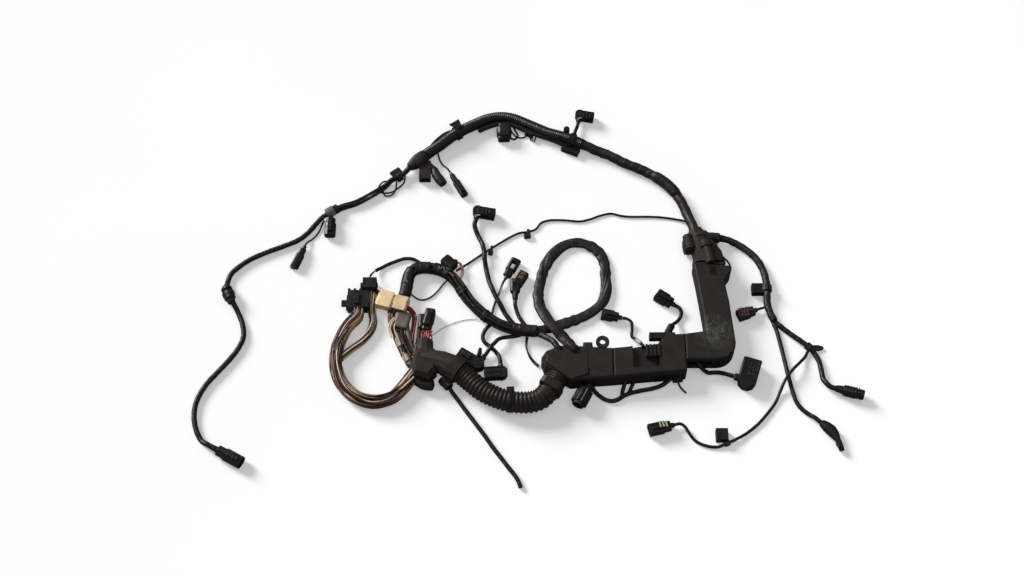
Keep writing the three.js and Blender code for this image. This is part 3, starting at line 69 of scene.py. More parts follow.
LOOM = metres([
    (-171, 251, 12), (-163, 260, 10), (-146, 274, 10), (-126, 291, 12.1), (-106, 305, 12.1), (-86, 318, 10),
    (-66, 328, 10), (-45, 332, 10), (-25, 329, 10), (-5, 320, 10), (16, 309, 10), (36, 299, 10),
    (56, 291, 12.1), (76, 283, 12.1), (93, 274, 12.1),
])
SIDE_CABLE = metres([
    (-167, 262, 8.5), (-160, 277, 6.5), (-149, 291, 6.5), (-135, 302, 7.5), (-116, 305, 10.5),
])
TAPED_ARC = metres([
    (88, 277, 12.1), (104, 270, 10.5), (115, 265, 8.5), (140, 253, 8.5), (164, 238, 8.5), (189, 226, 8.5),
    (210, 213, 8.5), (229, 197, 8.5), (245, 178, 8.5), (255, 158, 8.5), (262, 137, 8.5), (268, 117, 11.5),
    (272, 101, 13.5),
])
THIN_WIRE = metres([
    (266, 121, 8), (259, 126, 4), (243, 131, 2), (218, 135, 2), (194, 136, 2), (169, 136, 2), (153, 138, 2),
    (138, 142, 2), (120, 138, 2), (103, 131, 2), (87, 127, 2), (62, 129, 2), (37, 129, 2), (23, 124, 2),
    (14, 112, 2), (3, 107, 2), (-14, 104, 2), (-36, 91, 2), (-57, 76, 2), (-77, 61, 2), (-96, 46, 2),
    (-106, 37, 5), (-114, 28, 10),
])
BRANCH_RIGHT = metres([
    (312, 88, 12), (324, 87, 9), (342, 79, 6), (358, 66, 6), (370, 51, 6), (378, 32, 6), (381, 11, 8.1),
    (381, -9, 8.1), (380, -29, 6), (383, -47, 6), (388, -61, 6),
])
LEAD_I = metres([
    (389, -62, 4.3), (398, -71, 4.3), (411, -83, 4.3), (426, -97, 6.3), (438, -108, 6.3), (447, -120, 4.3),
    (452, -133, 4.3), (454, -150, 4.3), (455, -163, 5.3), (459, -173, 9), (465, -179, 9), (472, -181, 9),
])
LEAD_J = metres([
    (386, -60, 3.5), (391, -78, 3.5), (395, -103, 3.5), (399, -133, 3.5), (402, -156, 3.5),
    (406, -182, 3.5), (411, -203, 3.5), (418, -214, 3.5), (427, -222, 3.5), (436, -230, 7), (444, -238, 7),
])
LEAD_G = metres([
    (438, -111, 4.5), (431, -124, 3.5), (422, -135, 7.5), (411, -147, 11), (402, -158, 11), (394, -170, 11),
    (387, -184, 5.5), (379, -201, 2.5), (365, -220, 2.5), (349, -238, 2.5), (331, -253, 2.5),
    (314, -264, 4.6), (299, -271, 4.6), (285, -276, 2.5), (267, -274, 2.5), (252, -266, 2.5),
    (243, -255, 5.5), (237, -245, 7.5), (229.5, -240, 7.5), (221, -242, 7.5),
])
LEAD_E = metres([
    (258, -136, 17), (263, -143.5, 17), (270, -150, 11.5), (279, -152, 4.5), (290, -151, 3.5),
    (299, -153, 5.5), (308, -158, 10), (317, -161, 10),
])
LEAD_D = metres([
    (219.5, -86, 19), (223, -79, 19), (229, -70, 12), (236, -61, 4), (241, -53, 3), (243, -46, 5),
    (240, -39, 7), (233, -34, 7),
])
LEAD_C = metres([
    (181, -120, 26.5), (174, -112, 26.5), (167, -102, 20.5), (163, -91, 7.5), (163, -82, 2.5),
    (164, -73, 3.5), (163, -64, 6.5), (156, -58, 6.5), (149, -56.5, 6.5),
])
ELBOW_LEAD = metres([
    (-84, 127, 8), (-86, 117, 8), (-83, 105, 5), (-78, 93, 4), (-73, 79, 8.8), (-70, 65, 8.8),
    (-69, 51, 8.8), (-67, 38, 4), (-65, 27, 4), (-62, 13, 4), (-57, -3, 8.8), (-51, -18, 8.8),
    (-44, -32, 8.8), (-37, -45, 4), (-29, -58, 4), (-19, -71, 4),
])
RING_LEAD = metres([
    (-36, 15, 5.5), (-40, 7, 5.5), (-44, -5, 2), (-49, -18, 2), (-53, -30, 2), (-56, -43, 2), (-57, -56, 2),
    (-54, -66, 2),
])
BOOT_LEAD = metres([
    (-20, -22, 5.5), (-20, -31, 5.5), (-17, -44, 3.2), (-12, -56, 3.2), (-4, -68, 3.2), (4, -79, 3.2),
])
MIDDLE_BUNDLE = metres([
    (-197, -20.9, 10), (-193.8, -9.4, 10), (-191, 12, 10), (-187, 25, 10), (-177, 32, 10), (-164, 34, 10),
    (-148, 32, 10), (-135, 27, 10), (-123, 18, 10), (-113, 5, 10), (-103, -11, 10), (-92, -28, 10),
    (-76, -46, 10), (-60, -60, 10), (-41, -71, 10), (-20, -78, 10), (0, -81, 10), (14, -82, 10),
])
PIGTAIL = metres([
    (-251, 8.3, 17), (-251, 15, 17), (-243, 31, 6), (-230, 41, 2), (-212, 50, 2), (-198, 55, 2),
    (-185, 54, 2), (-172, 46, 2), (-160, 37, 4),
])
HOOK_WIRE = metres([
    (-190, -8, 7.5), (-181, -16, 3.5), (-170, -21, 1.5), (-156, -17, 1.5), (-144, -5, 1.5), (-135, 8, 1.5),
    (-126, 17, 3.5),
])
SMALL_INLET = metres([
    (6, -82, 7), (18, -88, 11), (30, -97, 16), (40, -109, 24), (46, -119, 24), (51, -128, 24),
])
LOOP_SLEEVE = metres([
    (74, -127, 18), (69, -118, 18), (63, -108, 18), (54, -96, 16.5), (44, -84, 18.5), (34, -71, 18.5),
    (26, -56, 16.5), (20, -38, 8), (17, -16, 5), (21, 12, 5), (28, 38, 5), (41, 61, 5), (59, 78, 5),
    (80, 84, 5), (101, 78, 5), (116, 65, 5), (124, 44, 5), (125, 18, 5), (125, -6, 5), (118, -28, 5),
    (102, -44, 5), (82, -56, 5), (60, -65, 5), (42, -71, 5), (28, -76, 6), (14, -80, 8),
])
TWIN_LEAD = metres([
    (0, -84, 8.5), (-2, -96, 2.5), (-2, -108, 2.5), (2, -121, 2.5), (8, -131, 2.5), (16.5, -140, 2.5),
])
LEAD_A = metres([
    (-6, -83, 3.2), (-19, -87, 3.2), (-33, -90, 5.3), (-45, -96, 10.6), (-53, -104, 10.6),
    (-59, -112, 10.6), (-64, -119, 8), (-68.5, -126, 8),
])
LEAD_B = metres([
    (-57, -64, 3.2), (-67, -76, 3.2), (-71, -88, 3.2), (-68, -98, 3.2), (-60, -105, 3.2), (-52, -113, 3.2),
    (-46, -122, 4.3), (-43.5, -130, 7), (-43, -137, 7),
])
COLOURED_LOOP = metres([
    (-268, -44.3, 10), (-268.6, -55, 10), (-282, -72, 9.5), (-291, -90, 9.5), (-297, -110, 9.5),
    (-298, -132, 9.5), (-294, -155, 9.5), (-284, -177, 9.5), (-270, -192, 9.5), (-251, -202, 9.5),
    (-230, -204, 9.5), (-210, -197, 9.5), (-195, -183, 9.5), (-183, -167, 9.5), (-171, -153, 13.5),
    (-156, -144, 17.5), (-136, -143, 19), (-124, -147, 19), (-110, -155, 19),
])
STRAND_GROUP = metres([
    (-246.6, -10.3, 9.5), (-246.6, -22, 9.5), (-246, -44, 6.5), (-243, -64, 6.5), (-248, -82, 6.5),
    (-260, -98, 6.5), (-274, -111, 7.5), (-291, -129, 8.5),
])
CREAM_WIRES = metres([
    (-213.7, -43.9, 8.5), (-216.1, -52.6, 8.5), (-213, -70, 6.5), (-206, -88, 6.5), (-198, -108, 6.5),
    (-189, -127, 6.5), (-178, -144, 9.5), (-163, -149, 13.5),
])
RED_WIRES = metres([
    (-190.2, -38.7, 8.5), (-184.9, -42.2, 7.5), (-179, -50, 4.5), (-179, -64, 4.5), (-181, -84, 4.5),
    (-182, -106, 4.5), (-178, -126, 7.5), (-166, -142, 13.5),
])
UNDER_CABLE = metres([
    (98, -174.5, 5.5), (101, -182, 3.5), (110, -192, 3.5), (119, -198, 3.5), (129, -200, 3.5),
    (138, -197, 3.5), (147, -191, 3.5), (159, -186, 3.5), (175, -182, 3.5), (190, -179, 3.5),
    (206, -173, 3.5), (222, -161, 5.5),
])
STRAIGHT_LEAD = metres([
    (-121, -180, 9.5), (-117, -186, 6.5), (-108, -198, 3.5), (-95, -217, 3.5), (-81, -237, 3.5),
    (-67, -257, 3.5), (-54, -277, 3.5), (-41, -295, 3.5), (-31, -309, 3.5), (-22, -321, 3.5),
    (-16, -331, 3.5), (-12, -342, 3.5),
])
CONDUIT = metres([
    (-116, -151, 19.3), (-106, -158, 18.3), (-95, -167, 17.3), (-84, -177, 17.3), (-70, -189, 17.3),
    (-52, -199, 17.3), (-33, -206, 17.3), (-13, -209, 17.3), (5, -208, 17.3), (20, -202, 18),
    (31, -189.4, 18), (37.6, -178.3, 18),
])
TALL_WIRES = metres([
    (-159.7, -82.3, 9), (-161.1, -90.9, 9), (-161, -106, 13.5), (-160.5, -120, 15.5), (-155, -133, 17.5),
    (-143, -141, 19),
])

# Camera at the photograph's angle


def add_camera():
    target = Vector((-0.025, 0.001, 0.0)) - ORIGIN
    elevation = math.radians(60)
    distance = 2.4
    width_seen = 1.6384
    sensor = 36
    data = bpy.data.cameras.new("camera")
    data.sensor_width = sensor
    data.lens = sensor * distance / width_seen
    data.clip_end = 50
    camera = bpy.data.objects.new("camera", data)
    away = Vector((0, -math.cos(elevation), math.sin(elevation)))
    camera.location = target + distance * away
    camera.rotation_euler = (math.pi / 2 - elevation, 0, 0)
    bpy.context.scene.collection.objects.link(camera)
    bpy.context.scene.camera = camera


add_camera()

# Materials


class Nodes:
    """Builds a node tree with short calls."""

    def __init__(self, name):
        self.material = bpy.data.materials.new(name)
        self.material.use_nodes = True
        self.tree = self.material.node_tree
        self.shader = self.tree.nodes["Principled BSDF"]

    def add(self, kind, **values):
        node = self.tree.nodes.new(kind)
        for key, value in values.items():
            if hasattr(node, key):
                setattr(node, key, value)
            else:
                node.inputs[key.replace("_", " ")].default_value = value
        return node

    def link(self, out, into):
        self.tree.links.new(out, into)

    def noise(self, scale, detail=4.0, vector=None):
        node = self.add("ShaderNodeTexNoise", Scale=scale, Detail=detail)
        if vector is not None:
            self.link(vector, node.inputs["Vector"])
        return node.outputs["Fac"]

    def place(self):
        return self.add("ShaderNodeTexCoord").outputs["Object"]

    def ramp(self, factor, stops):
        """Colours between stops. A stop is (position, colour), or (position, number) for a grey."""
        node = self.add("ShaderNodeValToRGB")
        elements = node.color_ramp.elements
        while len(elements) < len(stops):
            elements.new(0.5)
        for element, (position, colour) in zip(elements, stops):
            shade = colour if isinstance(colour, tuple) else (colour,) * 3
            element.position = position
            element.color = (*shade, 1)
        self.link(factor, node.inputs["Fac"])
        return node.outputs["Color"]

    def mix(self, factor, a, b):
        node = self.add("ShaderNodeMix", data_type="RGBA")
        for value, name in ((factor, "Factor"), (a, "A"), (b, "B")):
            socket = [s for s in node.inputs if s.name == name and s.enabled][0]
            if isinstance(value, (int, float)):
                socket.default_value = value
            elif isinstance(value, tuple):
                socket.default_value = (*value, 1)
            else:
                self.link(value, socket)
        return [s for s in node.outputs if s.enabled][0]

    def math(self, operation, a, b=0.0):
        node = self.add("ShaderNodeMath", operation=operation)
        for socket, value in zip(node.inputs, (a, b)):
            if isinstance(value, (int, float)):
                socket.default_value = value
            else:
                self.link(value, socket)
        return node.outputs[0]

    def grey(self, factor, low, high):
        return self.ramp(factor, [(0.3, low), (0.7, high)])

    def shades(self, factor, colour, dark, pale, most=10):
        """A colour between its darker and its paler shade."""
        low, high = (tuple(min(most, c * share) for c in colour) for share in (dark, pale))
        return self.ramp(factor, [(0.3, low), (0.7, high)])

    def bump(self, height, strength, distance, normal=None):
        node = self.add("ShaderNodeBump", Strength=strength, Distance=distance)
        self.link(height, node.inputs["Height"])
        if normal is not None:
            self.link(normal, node.inputs["Normal"])
        return node.outputs["Normal"]

    def moulded(self, place, grain):
        """Fine grain over softened edges."""
        edges = self.add("ShaderNodeBevel", samples=4, Radius=0.0006)
        return self.bump(self.noise(1500, 2, place), grain, 0.0004, edges.outputs["Normal"])

    def surface(self, colour, rough, normal, shine):
        for source, name in ((colour, "Base Color"), (rough, "Roughness"), (normal, "Normal")):
            self.link(source, self.shader.inputs[name])
        self.shader.inputs["Specular IOR Level"].default_value = shine
        return self.material


DUST = (0.16, 0.15, 0.14)


def plastic(name, colour, dust=DUST, dust_share=0.1, rough=(0.3, 0.5), grain=0.25, shine=0.4):
    """Moulded plastic: mottled colour, dust in soft patches, fine grain and softened edges."""
    n = Nodes(name)
    place = n.place()
    base = n.shades(n.noise(60, 5, place), colour, 0.8, 1.25)
    patches = n.ramp(n.noise(22, 8, place), [(0.52, 0), (0.75, dust_share)])
    dusty = n.mix(patches, base, dust)
    return n.surface(dusty, n.grey(n.noise(140, 3, place), *rough), n.moulded(place, grain), shine)


def tape(name, colour, pitch=0.011, rough=(0.36, 0.6), dust_share=0.08, shine=0.35):
    """Wound tape on a tube whose UV is length in metres by turn: overlapping edges, creases and dust."""
    n = Nodes(name)
    uv = n.add("ShaderNodeTexCoord").outputs["UV"]
    place = n.place()
    split = n.add("ShaderNodeSeparateXYZ")
    n.link(uv, split.inputs[0])
    along = n.math("DIVIDE", split.outputs[0], pitch)
    turn = n.math("ADD", along, split.outputs[1])
    wobble = n.math("MULTIPLY", n.noise(90, 2, place), 0.25)
    step = n.math("FRACT", n.math("ADD", turn, wobble))
    lap = n.ramp(step, [(0.0, 0), (0.06, 1), (1.0, 0.45)])
    creases = n.noise(420, 4, place)
    height = n.math("ADD", n.math("MULTIPLY", lap, 0.7), n.math("MULTIPLY", creases, 0.5))
    base = n.shades(n.noise(70, 5, place), colour, 0.75, 1.3)
    seam = n.ramp(step, [(0.0, 0.25), (0.07, 0), (1.0, 0)])
    worn = n.mix(seam, base, tuple(min(1, c * 3.2) for c in colour))
    dust = n.ramp(n.noise(30, 7, place), [(0.55, 0), (0.8, dust_share)])
    dusty = n.mix(dust, worn, (0.3, 0.28, 0.25))
    return n.surface(dusty, n.grey(creases, *rough), n.bump(height, 0.55, 0.0007), shine)


def sheath(name, colour, rough=(0.26, 0.45), shine=0.45):
    """Smooth insulation: slight colour change along the wire, dust and scuffs."""
    n = Nodes(name)
    place = n.place()
    base = n.shades(n.noise(45, 4, place), colour, 0.75, 1.2, most=1)
    dust = n.ramp(n.noise(120, 6, place), [(0.55, 0), (0.8, 0.12)])
    dusty = n.mix(dust, base, (0.2, 0.18, 0.16))
    fine = n.bump(n.noise(900, 3, place), 0.2, 0.0003)
    return n.surface(dusty, n.grey(n.noise(300, 2, place), *rough), fine, shine)


BLACK = plastic("black_plastic", (0.0075, 0.006, 0.0053), dust=(0.16, 0.14, 0.12))
DUCT_COLOUR = (0.0205, 0.0162, 0.015)
DUCT_ROUGH = (0.42, 0.62)
DUCT_GRAIN = 0.4
DUCT_SHINE = 0.25
DUCT = plastic(
    "duct_plastic", DUCT_COLOUR, dust=(0.07, 0.068, 0.062), rough=DUCT_ROUGH, grain=DUCT_GRAIN,
    shine=DUCT_SHINE,
)
CONDUIT_SHELL = plastic(
    "conduit_plastic", (0.024, 0.0165, 0.0138), dust=(0.075, 0.056, 0.045), dust_share=0.25, shine=0.3,
)
BOOT = plastic(
    "boot_rubber", (0.026, 0.02, 0.0175), dust=(0.07, 0.06, 0.052), dust_share=0.3, rough=(0.5, 0.75),
    shine=0.25,
)
FRAMED = plastic("framed_plastic", (0.03, 0.017, 0.018), dust=(0.2, 0.11, 0.12), dust_share=0.4)
CREAM = plastic(
    "cream_plastic", (1.0, 0.78, 0.46), dust=(0.42, 0.25, 0.12), dust_share=0.55, rough=(0.35, 0.55),
)
LEAD = tape("lead_tape", (0.01, 0.008, 0.007), pitch=0.013, rough=(0.3, 0.55))
TAPE = tape("bundle_tape", (0.016, 0.0122, 0.0108), pitch=0.015)
LOOM_TUBE = sheath("loom_tube", (0.011, 0.0088, 0.0078))
DARK_WIRE = sheath("dark_wire", (0.0095, 0.0078, 0.007))
WIRE_COLOURS = {
    "black": (0.012, 0.011, 0.011),
    "brown": (0.1, 0.035, 0.018),
    "tan": (0.48, 0.29, 0.17),
    "cream": (0.85, 0.72, 0.5),
    "red": (0.42, 0.035, 0.03),
    "green": (0.1, 0.14, 0.09),
    "grey": (0.2, 0.19, 0.18),
    "violet": (0.1, 0.05, 0.09),
    "rose": (0.36, 0.15, 0.11),
}
WIRES = {key: sheath("wire_" + key, colour) for key, colour in WIRE_COLOURS.items()}
# Pale grey wires; the same material also paints a highlight on lead C in the duct's recess
PALE_WIRE_AND_HIGHLIGHT = sheath("pale_wire_and_highlight", (0.34, 0.32, 0.29), rough=(0.25, 0.4))
OLIVE = sheath("olive_wire", (0.12, 0.11, 0.065))
PALE_CLOTH = tape("pale_cloth_tape", (0.5, 0.41, 0.31), pitch=0.008)
GREY_BAND = plastic("grey_band", (0.17, 0.145, 0.12), dust=(0.04, 0.035, 0.03), dust_share=0.5)
TAN_TIP = plastic("tan_tip", (0.16, 0.075, 0.045), rough=(0.35, 0.5))
RED_MARK = plastic("dark_red_inlay", (0.09, 0.008, 0.01))
# Pale inserts on plug_g; the same material paints glints on the two elbow plugs
PALE_INSERT_AND_GLINT = plastic("pale_insert_and_glint", (0.42, 0.38, 0.3))
FRAME_LINE = plastic("frame_line", (0.15, 0.085, 0.09))
TERMINAL_RED = plastic("terminal_red", (0.05, 0.019, 0.015))

# Usual slot of each material, for the details on the pieces
USUAL_SLOTS = {
    "black_plastic": [BLACK, TAN_TIP, RED_MARK, PALE_INSERT_AND_GLINT],
    "duct_plastic": [DUCT],
    "boot_rubber": [BOOT, TERMINAL_RED],
    "cream_plastic": [CREAM],
    "framed_plastic": [FRAME_LINE],
    "taped_cloth": [TAPE, PALE_CLOTH],
    "lead_sheath": [LEAD, DARK_WIRE, PALE_WIRE_AND_HIGHLIGHT],
    "coloured_wires": [OLIVE, *WIRES.values()],
}


def usual_slot(material):
    return next(slot for slot, materials in USUAL_SLOTS.items() if material in materials)


# Curves and tubes
DENSE_STEP = 0.0008
FLOOR_GAP = 0.0001
WIRE_GAP = 0.0002


def smooth(points, step):
    """Points along a smooth curve through the given ones, about a step apart."""
    p = [Vector(q) - ORIGIN for q in points]
    p = [2 * p[0] - p[1]] + p + [2 * p[-1] - p[-2]]
    dense = []
    for i in range(1, len(p) - 2):
        knots = [0.0]
        for a, b in zip(p[i - 1:i + 2], p[i:i + 3]):
            knots.append(knots[-1] + max(1e-5, (b - a).length) ** 0.5)
        count = max(2, int((p[i + 1] - p[i]).length / DENSE_STEP))
        for j in range(count):
            t = knots[1] + (knots[2] - knots[1]) * j / count
            dense.append(spline_point(p[i - 1:i + 3], knots, t))
    dense.append(p[-2])
    return evenly(dense, step)


def spline_point(p, k, t):
    def between(a, b, ta, tb):
        return a.lerp(b, (t - ta) / (tb - ta))
    a1 = between(p[0], p[1], k[0], k[1])
    a2 = between(p[1], p[2], k[1], k[2])
    a3 = between(p[2], p[3], k[2], k[3])
    b1 = between(a1, a2, k[0], k[2])
    b2 = between(a2, a3, k[1], k[3])
    return between(b1, b2, k[1], k[2])


def evenly(points, step):
    run = [0.0]
    for a, b in zip(points, points[1:]):
        run.append(run[-1] + (b - a).length)
    count = max(2, round(run[-1] / step))
    out = []
    i = 0
    for j in range(count + 1):
        s = run[-1] * j / count
        while i < len(run) - 2 and run[i + 1] < s:
            i += 1
        share = min(1, (s - run[i]) / max(1e-9, run[i + 1] - run[i]))
        out.append(points[i].lerp(points[i + 1], share))
    return out


def length_of(line):
    return sum((b - a).length for a, b in zip(line, line[1:]))


def raised(line, least):
    """The line, nowhere lower than the least height."""
    return [Vector((p.x, p.y, max(p.z, least))) for p in line]


def frames(line):
    """Level side and upward direction square to each step of a line."""
    out = []
    for i, point in enumerate(line):
        forward = (line[min(i + 1, len(line) - 1)] - line[max(i - 1, 0)]).normalized()
        side = Vector((-forward.y, forward.x, 0)).normalized()
        out.append((point, side, forward.cross(side), forward))
    return out


def link(obj, material):
    obj.data.materials.append(material)
    bpy.context.scene.collection.objects.link(obj)
    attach(obj, "root")
    return obj


def skin(name, rings, runs, material):
    """Mesh over rings of points, with UV as length in metres by turn."""
    count = len(rings[0])
    mesh = bpy.data.meshes.new(name)
    faces = []
    for i in range(len(rings) - 1):
        for j in range(count):
            k = (j + 1) % count
            faces.append((i * count + j, i * count + k, (i + 1) * count + k, (i + 1) * count + j))
    sides = len(faces)
    faces.append(tuple(reversed(range(count))))
    faces.append(tuple(range((len(rings) - 1) * count, len(rings) * count)))
    mesh.from_pydata([tuple(p) for ring in rings for p in ring], [], faces)
    uv = mesh.uv_layers.new(name="UVMap")
    for face in mesh.polygons:
        face.use_smooth = face.index < sides
        row, column = divmod(face.index, count)
        if face.index >= sides:
            continue
        corners = ((0, 0), (0, 1), (1, 1), (1, 0))
        for loop, (down, across) in zip(face.loop_indices, corners):
            uv.data[loop].uv = (runs[row + down], (column + across) / count)
    mesh.update()
    return link(bpy.data.objects.new(name, mesh), material)


def sweep(name, line, section, material, sides=14):
    """Tube along a line. section(run, turn) gives the width and height radii there."""
    rings, runs = [], []
    run = 0.0
    before = line[0]
    for point, side, up, _ in frames(line):
        run += (point - before).length
        before = point
        ring = []
        for j in range(sides):
            turn = j / sides
            wide, high = section(run, turn)
            angle = 2 * math.pi * turn
            spot = point + side * math.cos(angle) * wide + up * math.sin(angle) * high
            spot.z = max(spot.z, FLOOR_GAP)
            ring.append(spot)
        rings.append(ring)
        runs.append(run)
    return skin(name, rings, runs, material)


def wound(radius, pitch, rise, seed=0):
    """Section of a taped cable: a small step at each lap of the tape, and never quite round."""
    rng = random.Random(seed)
    phases = [rng.uniform(0, 6.3) for _ in range(3)]

    def section(run, turn):
        lap = (run / pitch + turn) % 1.0
        wave = math.sin(run * 310 + phases[0]) + math.sin(run * 170 + 4 * math.pi * turn + phases[1])
        r = radius - rise * lap + 0.22 * rise * wave
        return r, r
    return section


def round_section(radius):
    return lambda run, turn: (radius, radius)


def strands(name, line, placements, radius, materials, twist=0.0, jitter=0.0, seed=0):
    """Several wires along one line. Each placement is (across, up) from the line, in metres."""
    rng = random.Random(seed)
    made = []
    rows = frames(line)
    step = (line[1] - line[0]).length
    for index, (across, up_by) in enumerate(placements):
        phase = rng.uniform(0, 6.3)
        wave = rng.uniform(35, 70)
        points = []
        for i, (point, side, up, _) in enumerate(rows):
            run = i * step
            angle = twist * run
            c, s = math.cos(angle), math.sin(angle)
            a = across * c - up_by * s + jitter * math.sin(run * wave + phase)
            b = across * s + up_by * c + jitter * math.cos(run * wave * 0.8 + phase)
            spot = point + side * a + up * b
            spot.z = max(spot.z, radius + WIRE_GAP)
            points.append(spot)
        material = materials[index % len(materials)]
        made.append(sweep(f"{name}_{index:02d}", points, round_section(radius), material, sides=8))
    return made


def packed(radius, wire, count, seed):
    """Places for wires in a round bundle, from its rim inwards."""
    rng = random.Random(seed)
    places = []
    ring_radius = radius - wire
    while len(places) < count and ring_radius > 0:
        around = max(1, int(2 * math.pi * ring_radius / (2.1 * wire)))
        turn = rng.uniform(0, 1)
        for i in range(around):
            angle = 2 * math.pi * (i + turn) / around
            places.append((math.cos(angle) * ring_radius, math.sin(angle) * ring_radius))
        ring_radius -= 1.9 * wire
    return places[:count]


# Free leads, each a taped tube along its route


def free_lead(node, route, diameter, plug, from_start, far_end):
    line = smooth(route, min(0.002, diameter * 0.35))
    section = wound(diameter / 2, 0.012, diameter * 0.03, seed=len(node))
    lead = sweep(node + "_cable", line, section, LEAD, sides=16 if diameter > 0.006 else 12)
    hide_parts(node)


LEADS = [
    ("lead_left", LEAD_LEFT, 0.0085, ["plug_left", "grommet_left"], False, "plug"),
    ("lead_i", LEAD_I, 0.0085, ["plug_i", "clip_low"], True, "plug"),
    ("lead_j", LEAD_J, 0.007, ["boot_j"], True, "connector"),
    ("lead_g", LEAD_G, 0.005, ["plug_g", "clip_h"], True, "plug"),
    ("lead_e", LEAD_E, 0.007, ["plug_e"], True, "plug"),
    ("lead_d", LEAD_D, 0.006, ["plug_d"], True, "plug"),
    ("lead_c", LEAD_C, 0.005, ["plug_c"], True, "plug"),
    ("lead_elbow", ELBOW_LEAD, 0.008, ["plug_elbow_middle"], False, "plug"),
    ("lead_ring", RING_LEAD, 0.004, ["plug_window"], False, "plug"),
    ("lead_boot", BOOT_LEAD, 0.0065, ["plug_booted"], False, "plug"),
    ("lead_a", LEAD_A, 0.0065, ["plug_a"], True, "plug"),
    ("lead_b", LEAD_B, 0.0065, ["plug_b"], True, "plug"),
    ("lead_straight", STRAIGHT_LEAD, 0.007, [], True, "bare"),
]
for values in LEADS:
    free_lead(*values)

# Held cables in place of their plain tubes


def held(obj, *nodes, slot="taped_cloth"):
    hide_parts(*nodes)


def held_tube(name, route, step, section, material, sides, node):
    held(sweep(name, smooth(route, step), section, material, sides), node)


def ribbed(radius, pitch, depth):
    """Section of a finely ribbed loom tube."""
    def section(run, turn):
        r = radius - depth * (0.5 - 0.5 * math.cos(2 * math.pi * run / pitch))
        return r, r
    return section


# Left bundle: three cables side by side, and a loose loop
left_line = smooth(BUNDLE_LEFT, 0.003)
for part in strands(
    "left_bundle", left_line, [(0.0, 0.0021), (0.0033, -0.0016), (-0.0033, -0.0016)], 0.0026,
    [LEAD, DARK_WIRE, LEAD], twist=14, jitter=0.0006, seed=3,
):
    held(part, "bundle_left", slot="lead_sheath")
held_tube("left_loose_wire", LOOSE_WIRE, 0.002, round_section(0.0014), DARK_WIRE, 10, "bundle_left")

# Upper trunk: ribbed loom, the cable beside it, and the taped arc down to the duct
LOOM_RIBS = ribbed(0.0099, 0.0034, 0.0012)
held_tube("loom", LOOM, 0.0008, LOOM_RIBS, LOOM_TUBE, 24, "trunk_upper")
held_tube("loom_side_cable", SIDE_CABLE, 0.002, wound(0.0025, 0.01, 0.0001), LEAD, 12, "trunk_upper")
held_tube("taped_arc", TAPED_ARC, 0.0016, wound(0.0085, 0.017, 0.0007, 2), TAPE, 22, "trunk_upper")
held_tube("thin_wire_cable", THIN_WIRE, 0.0018, wound(0.0019, 0.02, 0.0001, 5), LEAD, 10, "thin_wire")
held_tube("branch_cable", BRANCH_RIGHT, 0.0016, wound(0.006, 0.013, 0.0005, 4), TAPE, 18, "branch_right")

# Wide loop: a soft sleeve, flattened and creased
LOOP_WIDE = 0.0088
LOOP_HIGH = 0.0048


def creased(run, turn):
    crease = math.sin(run * 230 + 5 * math.sin(run * 41)) * math.sin(4 * math.pi * turn + run * 60)
    fold_at = 0.25 + 0.16 * math.sin(run * 17) + 0.06 * math.sin(run * 53)
    fold = math.exp(-((turn - fold_at) / 0.035) ** 2)
    second = math.exp(-((turn - fold_at - 0.13 - 0.05 * math.sin(run * 29)) / 0.03) ** 2)
    soft = 1 + 0.09 * crease + 0.05 * math.sin(run * 70) - 0.26 * fold - 0.16 * second
    return LOOP_WIDE * soft, LOOP_HIGH * soft


held_tube("loop_cable", LOOP_SLEEVE, 0.0016, creased, TAPE, 44, "loop_sleeve")

# Middle bundle: cables side by side under bands of tape
SLEEVE_START = 0.026


def sleeved(run, turn):
    r = 0.0012 if run < SLEEVE_START else 0.0028
    return r, r


middle_line = smooth(MIDDLE_BUNDLE, 0.0025)
for part in strands(
    "middle_bundle", middle_line, packed(0.0096, 0.0031, 8, 2) + [(0.0, 0.0)], 0.0031,
    [LEAD, DARK_WIRE, TAPE], twist=5, jitter=0.0006, seed=9,
):
    held(part, "bundle_middle")
TAPED_SHARES = [(0.0, 0.17), (0.19, 0.27), (0.3, 0.39), (0.5, 0.53), (0.7, 0.73), (0.88, 1.0)]
for index, (low, high) in enumerate(TAPED_SHARES):
    count = len(middle_line) - 1
    span = middle_line[int(low * count):int(high * count) + 1]
    band = wound(0.0101, 0.012, 0.0008, index)
    held(sweep(f"middle_tape_{index}", evenly(span, 0.0012), band, TAPE, 20), "bundle_middle")
pigtail = raised(smooth(PIGTAIL, 0.0015), 0.0029)
held(sweep("pigtail_wire", pigtail, sleeved, LEAD, 12), "bundle_middle")
held_tube("hook_wire_cable", HOOK_WIRE, 0.0015, round_section(0.0014), DARK_WIRE, 10, "bundle_middle")
held_tube("small_inlet_cable", SMALL_INLET, 0.0015, wound(0.005, 0.01, 0.0004), TAPE, 16, "bundle_middle")
for part in strands(
    "twin_lead", smooth(TWIN_LEAD, 0.002), [(0.0013, 0.0), (-0.0013, 0.0004)], 0.0012,
    [DARK_WIRE], twist=60, seed=1,
):
    held(part, "bundle_middle")
held_tube("under_cable", UNDER_CABLE, 0.0015, wound(0.0035, 0.011, 0.0002), LEAD, 14, "cable_under_duct")

